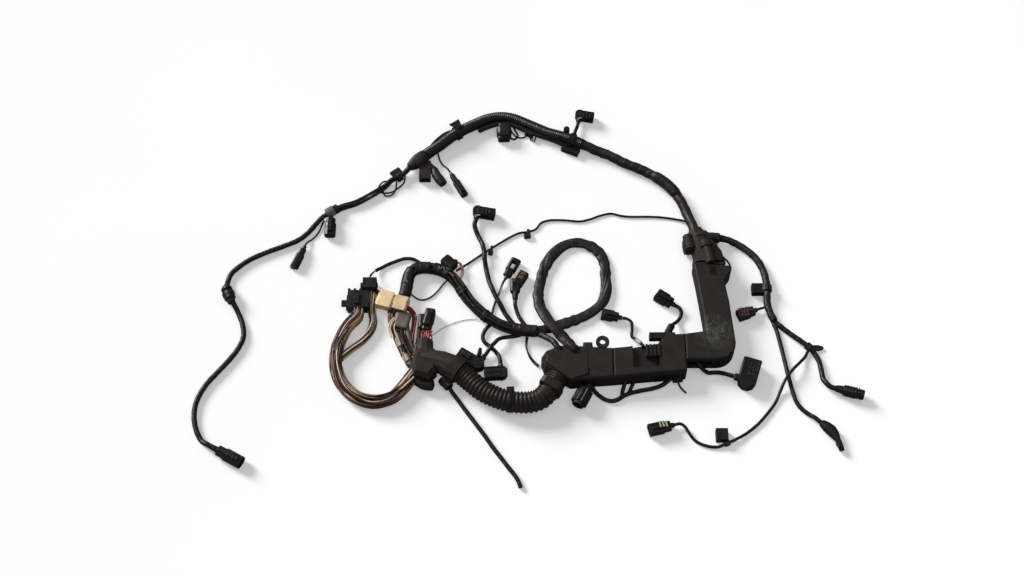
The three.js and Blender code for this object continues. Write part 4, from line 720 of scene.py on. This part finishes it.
# Coloured wires
WIRE_RADIUS = 0.00105
PALETTE = "black tan black cream brown black rose brown grey black tan brown cream".split()
for part in strands(
    "loop_wires", smooth(COLOURED_LOOP, 0.004), packed(0.0098, WIRE_RADIUS, 52, 4), WIRE_RADIUS,
    [WIRES[c] for c in PALETTE], twist=5, jitter=0.0013, seed=11,
):
    held(part, "wires_coloured", slot="coloured_wires")
for name, route, radius, count, colours in [
    ("inner_wires", STRAND_GROUP, 0.0062, 14, "cream black cream tan black cream green"),
    ("cream_wires", CREAM_WIRES, 0.0062, 14, "brown black tan grey black cream violet"),
    ("red_wires", RED_WIRES, 0.0042, 6, "red red brown"),
    ("tall_wires", TALL_WIRES, 0.0062, 12, "red red brown black"),
]:
    for part in strands(
        name, smooth(route, 0.003), packed(radius, 0.0012, count, count), 0.0012,
        [WIRES[c] for c in colours.split()], twist=12, jitter=0.0008, seed=count,
    ):
        held(part, "wires_coloured", slot="coloured_wires")

# Corrugated conduit: rounded ridges over a bore, and a plain end
CONDUIT_STEP = 0.00079
CONDUIT_RADIUS = 0.015
RIDGE_HEIGHT = 0.002
RIDGE_PITCH = 0.0063
PLAIN_END = 0.014


def corrugated():
    line = smooth(CONDUIT, CONDUIT_STEP)
    ridged = CONDUIT_STEP * (len(line) - 1) - PLAIN_END
    pitch = ridged / round(ridged / RIDGE_PITCH)

    def section(run, turn):
        if run > ridged:
            return CONDUIT_RADIUS, CONDUIT_RADIUS
        wave = 0.5 - 0.5 * math.cos(2 * math.pi * run / pitch)
        r = CONDUIT_RADIUS + RIDGE_HEIGHT * min(1.0, wave * 1.5)
        return r, r
    tube = sweep("conduit_tube", line, section, CONDUIT_SHELL, 36)
    held(tube, "corrugated_conduit", slot="conduit_plastic")


corrugated()

# Details on the pieces
RIB_PITCH = 0.005


def block(name, size, foot, heading, material, slot=None, soft=0.0007):
    """Softened block. foot is the middle of its underside, heading turns it about Z."""
    form = bmesh.new()
    bmesh.ops.create_cube(form, size=1.0)
    bmesh.ops.scale(form, vec=size, verts=form.verts)
    bmesh.ops.bevel(form, geom=form.edges[:], offset=soft, segments=2, profile=0.5, affect="EDGES")
    middle = Vector(foot) - ORIGIN + Vector((0, 0, size[2] / 2))
    place = Matrix.Translation(middle) @ Matrix.Rotation(heading, 4, "Z")
    bmesh.ops.transform(form, matrix=place, verts=form.verts)
    mesh = bpy.data.meshes.new(name)
    form.to_mesh(mesh)
    form.free()
    piece = link(bpy.data.objects.new(name, mesh), material)
    slot = slot or usual_slot(material)


def rod(name, route, radius, material, slot=None, rounded=0.0, step=0.0012, sides=10, ribs=0.0):
    """Round bar or wire along a route in millimetres, with rounded ends or ribs where given."""
    line = raised(smooth(metres(route), step), radius)
    total = length_of(line)

    def section(run, turn):
        r = radius
        if rounded:
            short = 1 - min(1.0, min(run, total - run) / rounded)
            r *= max(0.2, math.sqrt(max(0.0, 1 - short * short)))
        if ribs:
            r += ribs * (math.sin(run * 2 * math.pi / RIB_PITCH) > 0)
        return r, r
    piece = sweep(name, line, section, material, sides)
    slot = slot or usual_slot(material)


def plate(name, outline, low, high, chamfer, material):
    """Flat raised form with chamfered upper edges."""
    corners = [Vector((*corner, 0)) - ORIGIN for corner in outline]
    middle = sum(corners, Vector()) / len(corners)
    rings = []
    for level, inward in ((low, 0.0), (high - chamfer, 0.0), (high, chamfer)):
        ring = []
        for corner in corners:
            away = corner - middle
            spot = middle + away * (1 - inward / away.length)
            ring.append(Vector((spot.x, spot.y, level)))
        rings.append(ring)
    piece = skin(name, rings, [0.0, 0.001, 0.002], material)
    for face in piece.data.polygons:
        face.use_smooth = False


# Duct: raised facet, sleeve ends, guides, clips and strands below the front wall
LID_TOP = 0.032
FACET = metres([
    (26.7, -148.8), (64.2, -177.8), (92.1, -167.6), (92.4, -157.3), (52.6, -135), (28.4, -133.5),
])
plate("duct_facet", FACET, low=0.03, high=LID_TOP + 0.0024, chamfer=0.0014, material=DUCT)
rod("sleeve_end_wide", [(59, -112, 29), (66.5, -119.5, 30), (75, -129, 30)],
    0.0075, TAPE, slot="duct_plastic", rounded=0.006, sides=16)
rod("sleeve_end_narrow", [(40, -114, 29), (45, -120, 30.5), (51, -126.2, 30.5)],
    0.0042, LEAD, slot="duct_plastic", rounded=0.004, sides=14)
# The pale grey sleeve around the end of lead C in the recess is a painted highlight on the lead, not a real
# sleeve
rod("recess_painted_highlight", [(175.2, -113.5, 27.7), (170, -106.5, 24), (165.5, -98.5, 15.5)],
    0.0031, PALE_WIRE_AND_HIGHLIGHT, slot="duct_plastic", rounded=0.001)
rod("guide_d", [(218.8, -87.8, 19.5), (221.5, -82.5, 19), (224.8, -76.2, 16.5)],
    0.0052, BLACK, slot="duct_plastic", ribs=0.0006, sides=12)
rod("front_strand_a", [(143.6, -193, 3.6), (145.2, -183, 5.8), (150, -168, 8.8)], 0.0032, TAPE, sides=12)
rod("front_strand_b", [(153.5, -188, 3.6), (158, -179, 6), (164, -166, 8.8)], 0.003, TAPE, sides=12)
block("front_clip", (0.016, 0.007, 0.0085), (0.23, -0.1655, 0.004), 0.1, BLACK, "duct_plastic")
block("front_clip_lever", (0.011, 0.003, 0.003), (0.23, -0.17, 0.008), 0.1, BLACK, "duct_plastic")
for index in range(5):
    foot = (0.196 + 0.004 * index, -0.1675 + 0.0004 * index, 0.008)
    block(f"front_comb_{index}", (0.002, 0.006, 0.009), foot, 0.1, BLACK, "duct_plastic", soft=0.0004)
rod("front_stub_wire", [(230, -169, 7), (235, -177, 2.4), (243, -186, 1.8)], 0.0016, LEAD, rounded=0.0015)
CORNER_TEETH = [(0.256, -0.146, 0.006), (0.266, -0.146, 0.004), (0.279, -0.1455, 0.006)]
for index, (x, y, size) in enumerate(CORNER_TEETH):
    block(f"corner_tooth_{index}", (size, 0.003, 0.005), (x, y, 0.011), 0.0, DUCT)

# Mouth of the duct: sleeve over the bridge, ribs below it, and a rim wire on the right
rod("mouth_sleeve", [(285.5, 66.5, 28), (289.2, 48, 29), (292.2, 31, 30)], 0.0072, BOOT, sides=18)
block("mouth_seal", (0.05, 0.005, 0.025), (0.2892, 0.0313, 0.003), 0.02, DUCT)
rod("mouth_lobe", [(259, 88, 20), (260, 74, 21), (262.5, 60, 22)],
    0.008, BOOT, rounded=0.002, sides=18, ribs=0.0008)
rod("mouth_tape", [(269, 84.5, 22), (284, 88, 24), (299, 81, 22)], 0.006, TAPE, rounded=0.003, sides=16)
rod("mouth_collar", [(284.5, 72, 27), (286.8, 61, 28)], 0.0088, BOOT, ribs=0.0009, sides=18)
for index in range(4):
    foot = (0.292 + 0.0006 * index, 0.0225 - 0.0042 * index, 0.0312)
    block(f"arm_rib_{index}", (0.011, 0.0016, 0.0022), foot, -0.1, DUCT, soft=0.0004)
rod("mouth_wire", [
    (304, 76, 20), (305, 64, 23), (311, 48, 24), (321, 35, 23), (324, 25, 20), (319, 15, 16),
], 0.0016, DARK_WIRE)

# Small clips along the thin wire
block("wire_clip_a", (0.011, 0.008, 0.0065), (0.0, 0.098, 0.0), 0.1, BLACK)
block("wire_clip_a_strap", (0.005, 0.014, 0.0055), (0.0022, 0.1035, 0.0), 0.1, BLACK)
block("wire_clip_b", (0.0075, 0.0075, 0.0065), (-0.0596, 0.066, 0.0), -0.2, BLACK)
block("wire_clip_b_strap", (0.004, 0.013, 0.0055), (-0.0585, 0.0725, 0.0), -0.2, BLACK)

# Bare and pale wires
rod("grey_wire", [
    (-150, -93, 16), (-143, -83, 8), (-130.4, -70, 2), (-110.2, -60, 1), (-91.3, -56, 1), (-79, -56, 2),
], 0.0006, PALE_WIRE_AND_HIGHLIGHT, sides=8)
rod("ring_pigtail", [(-39.5, 4, 6.6), (-43, -7, 4.6), (-48.5, -20, 4.4)], 0.0009, PALE_WIRE_AND_HIGHLIGHT, sides=8)
rod("band_pigtail", [(-333.5, 129, 6), (-337.2, 119, 4), (-339.6, 109, 3.8)], 0.0008, PALE_WIRE_AND_HIGHLIGHT, sides=8)
rod("cap_pigtail", [(-250.8, 11.5, 18), (-247.8, 22, 11), (-242.5, 31.8, 7.5)], 0.0007, PALE_WIRE_AND_HIGHLIGHT, sides=8)

# Left bundle: grey band, tan plug tip and two slack loops
rod("left_band", [(-329.2, 136.8, 7.6), (-323.6, 140.8, 7.6), (-317.8, 145.2, 7.6)],
    0.0086, GREY_BAND, slot="black_plastic", rounded=0.0012, sides=16)
block("tan_tip", (0.01, 0.007, 0.0078), (-0.3768, 0.0402, 0.0015), 1.15, TAN_TIP)
SLACK_LOOPS = [
    [(-247, 185, 7), (-245, 197, 4), (-238, 205, 3), (-229, 204, 4), (-226, 197, 9)],
    [(-240, 187, 8), (-235, 177, 2.5), (-224, 179, 1.8), (-218, 190, 3), (-217, 202, 8)],
]
for index, route in enumerate(SLACK_LOOPS):
    rod(f"slack_loop_{index}", route, 0.0014, DARK_WIRE)

# Trunk: slack wires, broken tab clip and a second wire on the loom
rod("trunk_strand", [
    (-82.6, 304.8, 8), (-65.8, 313.8, 8), (-45.4, 320.4, 8), (-25, 318.1, 8), (-4.7, 307.8, 8),
    (19, 296.6, 8), (45.9, 285.5, 8), (66, 274.8, 8),
], 0.0046, TAPE, rounded=0.002, step=0.002, sides=16)
rod("trunk_fold", [
    (206, 215, 10.5), (216, 208.1, 10.5), (231, 195.1, 10.5), (242, 181.5, 10.5), (250, 169, 10.5),
], 0.0094, TAPE, rounded=0.014, step=0.002, sides=24)
rod("trunk_slack", [
    (-30, 319, 6), (-25, 306, 3), (-15, 296, 1.6), (-4, 296.5, 1.6), (3, 304, 3), (6, 311, 7),
], 0.0014, DARK_WIRE)
rod("trunk_ring", [
    (-31, 306, 3), (-29, 296, 1.8), (-21, 292, 1.8), (-15, 299, 1.8), (-19, 308, 3), (-23, 315, 6),
], 0.0017, DARK_WIRE)
block("tab_clip", (0.014, 0.015, 0.011), (0.006, 0.304, 0.0), -0.5, BLACK)
for index in range(3):
    foot = (0.006 + 0.0042 * index, 0.2935 - 0.0012 * index, 0.0)
    block(f"tab_clip_fin_{index}", (0.0016, 0.009, 0.007), foot, 0.35 - 0.3 * index, BLACK, soft=0.0004)
rod("loom_second_wire", [(-8, 314, 17), (12, 303, 17.2), (33, 292, 17.6), (54, 283, 19)], 0.0019, DARK_WIRE)

# Middle bundle: second cap, tan strands and torn tape threads
rod("second_cap", [(-127, 42, 8), (-119, 44, 8), (-112, 43, 8)], 0.0062, BLACK, rounded=0.003, sides=16)
for index in range(3):
    across = 1.7 * index
    rod(f"tan_strand_{index}", [
        (-113 + across, 44, 12), (-107.5 + across, 37, 9), (-106 + across, 26, 7), (-109 + across, 13, 12),
    ], 0.0008, WIRES["tan"], sides=8)
THREADS = [
    [(-141.6, 30.5, 20.3), (-139, 26.2, 20.6), (-135.2, 29, 20.4), (-131.8, 23.5, 20.5)],
    [(-125.4, 18.5, 20.5), (-121.5, 16.5, 20.6), (-118, 11, 20.4)],
    [(-197.8, 1, 20), (-194.5, 4.5, 20.3), (-190.5, 1, 20.2)],
    [(-130, 29, 19.5), (-127, 25.5, 20), (-123.5, 25, 19.6)],
]
for index, route in enumerate(THREADS):
    rod(f"torn_thread_{index}", route, 0.0006, PALE_WIRE_AND_HIGHLIGHT, step=0.0008, sides=6)

# Below the cream connector: cloth, worn tape patches and black bands on the wires
block("cloth_patch", (0.023, 0.029, 0.012), (-0.1975, -0.0625, 0.003), -0.25, GREY_BAND, "taped_cloth",
      soft=0.003)
rod("cloth_tail_a", [(-203, -56, 6), (-199, -78, 6), (-193, -101, 6), (-180, -127, 7)],
    0.0042, TAPE, rounded=0.002, sides=14)
rod("cloth_tail_b", [(-193, -56, 6), (-190, -74, 6), (-185, -100, 6), (-175, -125, 7)],
    0.0042, GREY_BAND, slot="taped_cloth", rounded=0.002, sides=14)
rod("cloth_lead", [(-196, -56, 13), (-199, -76, 12), (-190, -96, 11), (-180, -120, 11)],
    0.0016, DARK_WIRE, slot="coloured_wires", rounded=0.0008)
cream_line = smooth(CREAM_WIRES, 0.0012)
for name, low, high, radius, material in [
    ("worn_tape_a", 0.3, 0.56, 0.0062, PALE_CLOTH), ("black_band_a", 0.24, 0.34, 0.0065, TAPE),
    ("black_band_b", 0.54, 0.66, 0.0065, TAPE), ("worn_tape_b", 0.64, 0.8, 0.0062, PALE_CLOTH),
    ("black_band_c", 0.78, 0.97, 0.007, TAPE),
]:
    count = len(cream_line) - 1
    span = cream_line[int(low * count):int(high * count) + 1]
    sweep(name, span, wound(radius, 0.009, 0.0006, len(name)), material, 14)

# Booted plug's head with its window, levers, and halves of the cream connector
block("booted_head", (0.027, 0.016, 0.012), (-0.011, 0.015, 0.0), 1.05, BLACK, soft=0.002)
block("booted_window", (0.013, 0.0075, 0.001), (-0.009, 0.0185, 0.0116), 1.05, TAN_TIP, soft=0.0004)
block("booted_window_bar", (0.0016, 0.0085, 0.0016), (-0.009, 0.0185, 0.0118), 1.05, BLACK, soft=0.0004)
block("plug_a_lever", (0.015, 0.005, 0.016), (-0.076, -0.121, 0.0), 1.3, BLACK, soft=0.0012)
block("plug_a_latch", (0.016, 0.009, 0.0035), (-0.096, -0.127, 0.016), -0.55, BLACK)
block("hanging_body", (0.025, 0.024, 0.019), (-0.0385, 0.301, 0.0), 0.05, BLACK, soft=0.006)
for index in range(3):
    foot = (0.208 - 0.0048 * index, -0.2445 - 0.0004 * index, 0.0176)
    block(f"plug_g_insert_{index}", (0.0026, 0.01, 0.001), foot, 0.25, PALE_INSERT_AND_GLINT, soft=0.0003)
# Two small pale blocks on the elbow plugs are painted glints, not parts
for name, x, y, z in [("elbow_glint_a", 0.0905, 0.326, 0.0158), ("elbow_glint_b", -0.08, 0.13, 0.0164)]:
    block(name, (0.006, 0.0022, 0.001), (x, y, z), 0.1, PALE_INSERT_AND_GLINT, soft=0.0003)
CREAM_HEADING = -0.285
for name, size, shift, low in [
    ("cream_left_half", (0.0225, 0.029, 0.0022), -0.014, 0.019),
    ("cream_right_half", (0.0205, 0.0255, 0.0014), 0.011, 0.019),
]:
    foot = (-0.2116 + shift * math.cos(CREAM_HEADING), -0.0325 + shift * math.sin(CREAM_HEADING), low)
    block(name, size, foot, CREAM_HEADING, CREAM, soft=0.001)
block("cream_catch", (0.009, 0.005, 0.009), (-0.2165, -0.049, 0.006), CREAM_HEADING, BLACK)
block("cream_rear_catch", (0.011, 0.006, 0.012), (-0.242, -0.012, 0.004), CREAM_HEADING, BLACK)
rod("tall_plug_tower", [(-162.5, -76, 15), (-159, -62, 16.5), (-155, -49, 16.5)],
    0.0048, BLACK, rounded=0.004, sides=14)

# Boot: broad flap over the wires, and tape below it
BOOT_FLAP = metres([
    (-176, -166), (-153, -172), (-141, -160), (-139, -130), (-145, -120.5), (-169, -119.5), (-176.5, -129),
    (-180, -148),
])
plate("boot_flap", BOOT_FLAP, low=0.006, high=0.032, chamfer=0.0065, material=BOOT)
rod("boot_tape", [(-174, -164, 9), (-160, -174, 9), (-144, -176, 9.5)],
    0.0088, TAPE, rounded=0.004, sides=18)

# Boot outlet: bunch of red wires and the black tape beside them
for index in range(8):
    red = WIRES["rose" if index % 3 == 1 else "red"]
    left = -165.3 + 2.1 * index
    sway = 1.6 * math.sin(1.9 * index)
    rise = 22 + 1.5 * math.cos(1.3 * index)
    rod(f"outlet_red_{index}", [
        (left, -111, rise - 2), (left + sway, -100.5, rise), (left - sway, -91.7, rise - 1),
        (left + 1, -84.6, rise - 6),
    ], 0.0012, red, rounded=0.0006, sides=8)
block("booted_side", (0.015, 0.026, 0.014), (-0.1641, -0.0656, 0.002), 0.0, BLACK, soft=0.003)
rod("outlet_tape", [(-169.5, -75.9, 6), (-170.6, -91.9, 6), (-173.2, -109.6, 6), (-175.1, -123.7, 6)],
    0.005, TAPE, rounded=0.003, sides=16)
rod("olive_wire", [(-171.6, -51.2, 10), (-172.2, -67.4, 10), (-173.7, -85.2, 10), (-175.4, -104.7, 10)],
    0.0015, OLIVE, rounded=0.0008)

# Fan of wires from under the cream connector
for index in range(4):
    spread = 3 * index
    fan = WIRES["cream" if index != 2 else "black"]
    rod(f"fan_wire_{index}", [
        (-194.9, -56.5 - 0.4 * spread, 13), (-212 + 0.5 * spread, -61.9 - spread, 14),
        (-218.5 + spread, -77.4, 13), (-213.2 + spread, -94.6, 11),
    ], 0.0011, fan, rounded=0.0006, sides=8)

# Conduit: strap with a tab
block("conduit_tab", (0.012, 0.006, 0.013), (-0.0275, -0.1875, 0.01), 0.1, BLACK)
rod("conduit_strap", [(-31, -206.6, 17.7), (-25, -207.5, 17.7)], 0.0177, BLACK, sides=28)

# Right-hand plug: small dark red dots
for column in range(2):
    for row in range(3):
        foot = (0.34 + 0.0062 * column, -0.1515 - 0.0052 * row, 0.0204)
        block(f"plug_e_dot_{column}_{row}", (0.0028, 0.003, 0.0008), foot, 0.0, RED_MARK, soft=0.0003)


def ridges(name, count, size, start, pitch, heading, material):
    """Row of raised ridges across the top of a plug, along its heading."""
    for index in range(count):
        along = pitch * index
        foot = (start[0] + along * math.cos(heading), start[1] + along * math.sin(heading), start[2])
        block(f"{name}_{index}", size, foot, heading, material, soft=0.0003)


# Plugs: ridges across the shells
RIDGE = (0.0016, 0.01, 0.0012)
ELBOW_RIDGE = (0.002, 0.0115, 0.0012)
ridges("plug_i_ridge", 5, RIDGE, (0.487, -0.1858, 0.0172), 0.0046, -0.2, BLACK)
ridges("plug_left_ridge", 3, RIDGE, (-0.4485, -0.2935, 0.0182), 0.0046, -0.42, BLACK)
ridges("elbow_top_ridge", 3, ELBOW_RIDGE, (0.0965, 0.3318, 0.0156), 0.0058, -0.1, BLACK)
ridges("elbow_middle_ridge", 3, ELBOW_RIDGE, (-0.0725, 0.1387, 0.0161), 0.0058, -0.1, BLACK)
ridges("plug_d_ridge", 3, (0.0014, 0.0095, 0.001), (0.209, -0.015, 0.0163), 0.004, -0.55, BLACK)

# Framed plug: paler lines of its frame
ridges("plug_f_line", 4, (0.001, 0.0125, 0.001), (0.3325, -0.0512, 0.0164), 0.0045, 0.14, FRAME_LINE)
for side, x, y in [("low", 0.3402, -0.0563), ("high", 0.3384, -0.044)]:
    block(f"plug_f_edge_{side}", (0.016, 0.0011, 0.001), (x, y, 0.0164), 0.14, FRAME_LINE, soft=0.0003)

# Boot on the second lead: reddish terminal at the end
block("boot_j_terminal", (0.006, 0.0046, 0.003), (0.464, -0.2768, 0.0105), -1.15, TERMINAL_RED, soft=0.0005)

# Tower: bracket on the upper edge of the duct
block("guide_d_bracket", (0.023, 0.01, 0.011), (0.199, -0.1015, 0.0215), 0.03, BLACK)


def scuffed(colour, middle, reach):
    """Adds pale greenish scuffs around a point of the piece, in streaks."""
    n = Nodes("scuffed_duct")
    place = n.place()
    offset = n.add("ShaderNodeVectorMath", operation="DISTANCE")
    n.link(place, offset.inputs[0])
    offset.inputs[1].default_value = middle
    near = n.ramp(n.math("DIVIDE", offset.outputs["Value"], reach), [(0.35, 1), (1.0, 0)])
    stretch = n.add("ShaderNodeMapping")
    stretch.inputs["Rotation"].default_value = (0, 0, 0.5)
    stretch.inputs["Scale"].default_value = (1.0, 0.55, 1.0)
    n.link(place, stretch.inputs["Vector"])
    streaks = n.ramp(n.noise(430, 9, stretch.outputs["Vector"]), [(0.5, 0), (0.7, 1)])
    clouds = n.ramp(n.noise(60, 6, place), [(0.4, 0.1), (0.7, 0.8)])
    worn = n.math("ADD", n.math("MULTIPLY", streaks, 0.5), n.math("MULTIPLY", clouds, 0.28))
    base = n.shades(n.noise(60, 5, place), colour, 0.8, 1.25)
    scuffs = n.mix(n.math("MULTIPLY", near, worn), base, (0.2, 0.22, 0.195))
    rough = n.grey(n.noise(140, 3, place), *DUCT_ROUGH)
    return n.surface(scuffs, rough, n.moulded(place, DUCT_GRAIN), DUCT_SHINE)


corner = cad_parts["duct_cover_corner"]
worn_spot = corner.matrix_world.inverted() @ (Vector((0.288, -0.093, 0.032)) - ORIGIN)
WORN_DUCT = scuffed(DUCT_COLOUR, worn_spot, 0.036)

# Materials of the CAD pieces that stay
STAYING = {
    "duct_cover_corner": WORN_DUCT, "duct": DUCT, "conduit_cuff": CONDUIT_SHELL, "y_boot": BOOT,
    "plug_cream": CREAM, "plug_f": FRAMED, "tape_knot": TAPE,
}
for name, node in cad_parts.items():
    material = next((m for key, m in STAYING.items() if name.startswith(key)), BLACK)
    node.data.materials.clear()
    node.data.materials.append(material)

# Floor, world and lamps
FLOOR_REACH = 6
FLOOR_GLOW = 0.3
WORLD_LIGHT = 0.2


def add_floor():
    mesh = bpy.data.meshes.new("floor")
    corners = [(-FLOOR_REACH, -FLOOR_REACH, 0), (FLOOR_REACH, -FLOOR_REACH, 0)]
    corners += [(FLOOR_REACH, FLOOR_REACH, 0), (-FLOOR_REACH, FLOOR_REACH, 0)]
    mesh.from_pydata(corners, [], [(0, 1, 2, 3)])
    floor = bpy.data.objects.new("floor", mesh)
    floor.location.z = -0.0002
    bpy.context.scene.collection.objects.link(floor)
    n = Nodes("floor")
    n.shader.inputs["Roughness"].default_value = 0.9
    n.shader.inputs["Specular IOR Level"].default_value = 0.1
    place = n.place()
    pale = n.grey(n.noise(1.5, 2, place), 0.9, 0.93)
    rays = n.add("ShaderNodeLightPath")
    n.link(n.mix(rays.outputs["Is Glossy Ray"], pale, (0.25, 0.25, 0.25)), n.shader.inputs["Base Color"])
    n.shader.inputs["Emission Color"].default_value = (1, 1, 1, 1)
    glow = n.math("MULTIPLY", rays.outputs["Is Camera Ray"], FLOOR_GLOW)
    n.link(glow, n.shader.inputs["Emission Strength"])
    mesh.materials.append(n.material)


def add_world():
    world = bpy.data.worlds.new("world")
    bpy.context.scene.world = world
    world.use_nodes = True
    tree = world.node_tree
    light = tree.nodes["Background"]
    light.inputs["Color"].default_value = (1, 1, 1, 1)
    light.inputs["Strength"].default_value = WORLD_LIGHT
    white = tree.nodes.new("ShaderNodeBackground")
    white.inputs["Color"].default_value = (1, 1, 1, 1)
    rays = tree.nodes.new("ShaderNodeLightPath")
    seen = tree.nodes.new("ShaderNodeMath")
    seen.operation = "MAXIMUM"
    tree.links.new(rays.outputs["Is Camera Ray"], seen.inputs[0])
    tree.links.new(rays.outputs["Is Transmission Ray"], seen.inputs[1])
    mixed = tree.nodes.new("ShaderNodeMixShader")
    tree.links.new(seen.outputs[0], mixed.inputs[0])
    tree.links.new(light.outputs[0], mixed.inputs[1])
    tree.links.new(white.outputs[0], mixed.inputs[2])
    tree.links.new(mixed.outputs[0], tree.nodes["World Output"].inputs["Surface"])


def add_sun(direction, irradiance, spread):
    data = bpy.data.lights.new("sun", "SUN")
    data.energy = irradiance
    data.angle = math.radians(spread)
    sun = bpy.data.objects.new("sun", data)
    sun.rotation_euler = Vector(direction).to_track_quat("-Z", "Y").to_euler()
    bpy.context.scene.collection.objects.link(sun)


def add_lamp(name, place, aim, size, power):
    data = bpy.data.lights.new(name, "AREA")
    data.size = size
    data.energy = power
    lamp = bpy.data.objects.new(name, data)
    lamp.location = place
    lamp.rotation_euler = (Vector(aim) - Vector(place)).to_track_quat("-Z", "Y").to_euler()
    bpy.context.scene.collection.objects.link(lamp)


add_floor()
add_world()
add_sun(direction=(0.68, -0.56, -0.45), irradiance=3.4, spread=22)
add_lamp("fill", place=(0.8, -0.6, 3.0), aim=(0, 0, 0), size=1.6, power=9)
bpy.context.scene.view_settings.view_transform = "Standard"
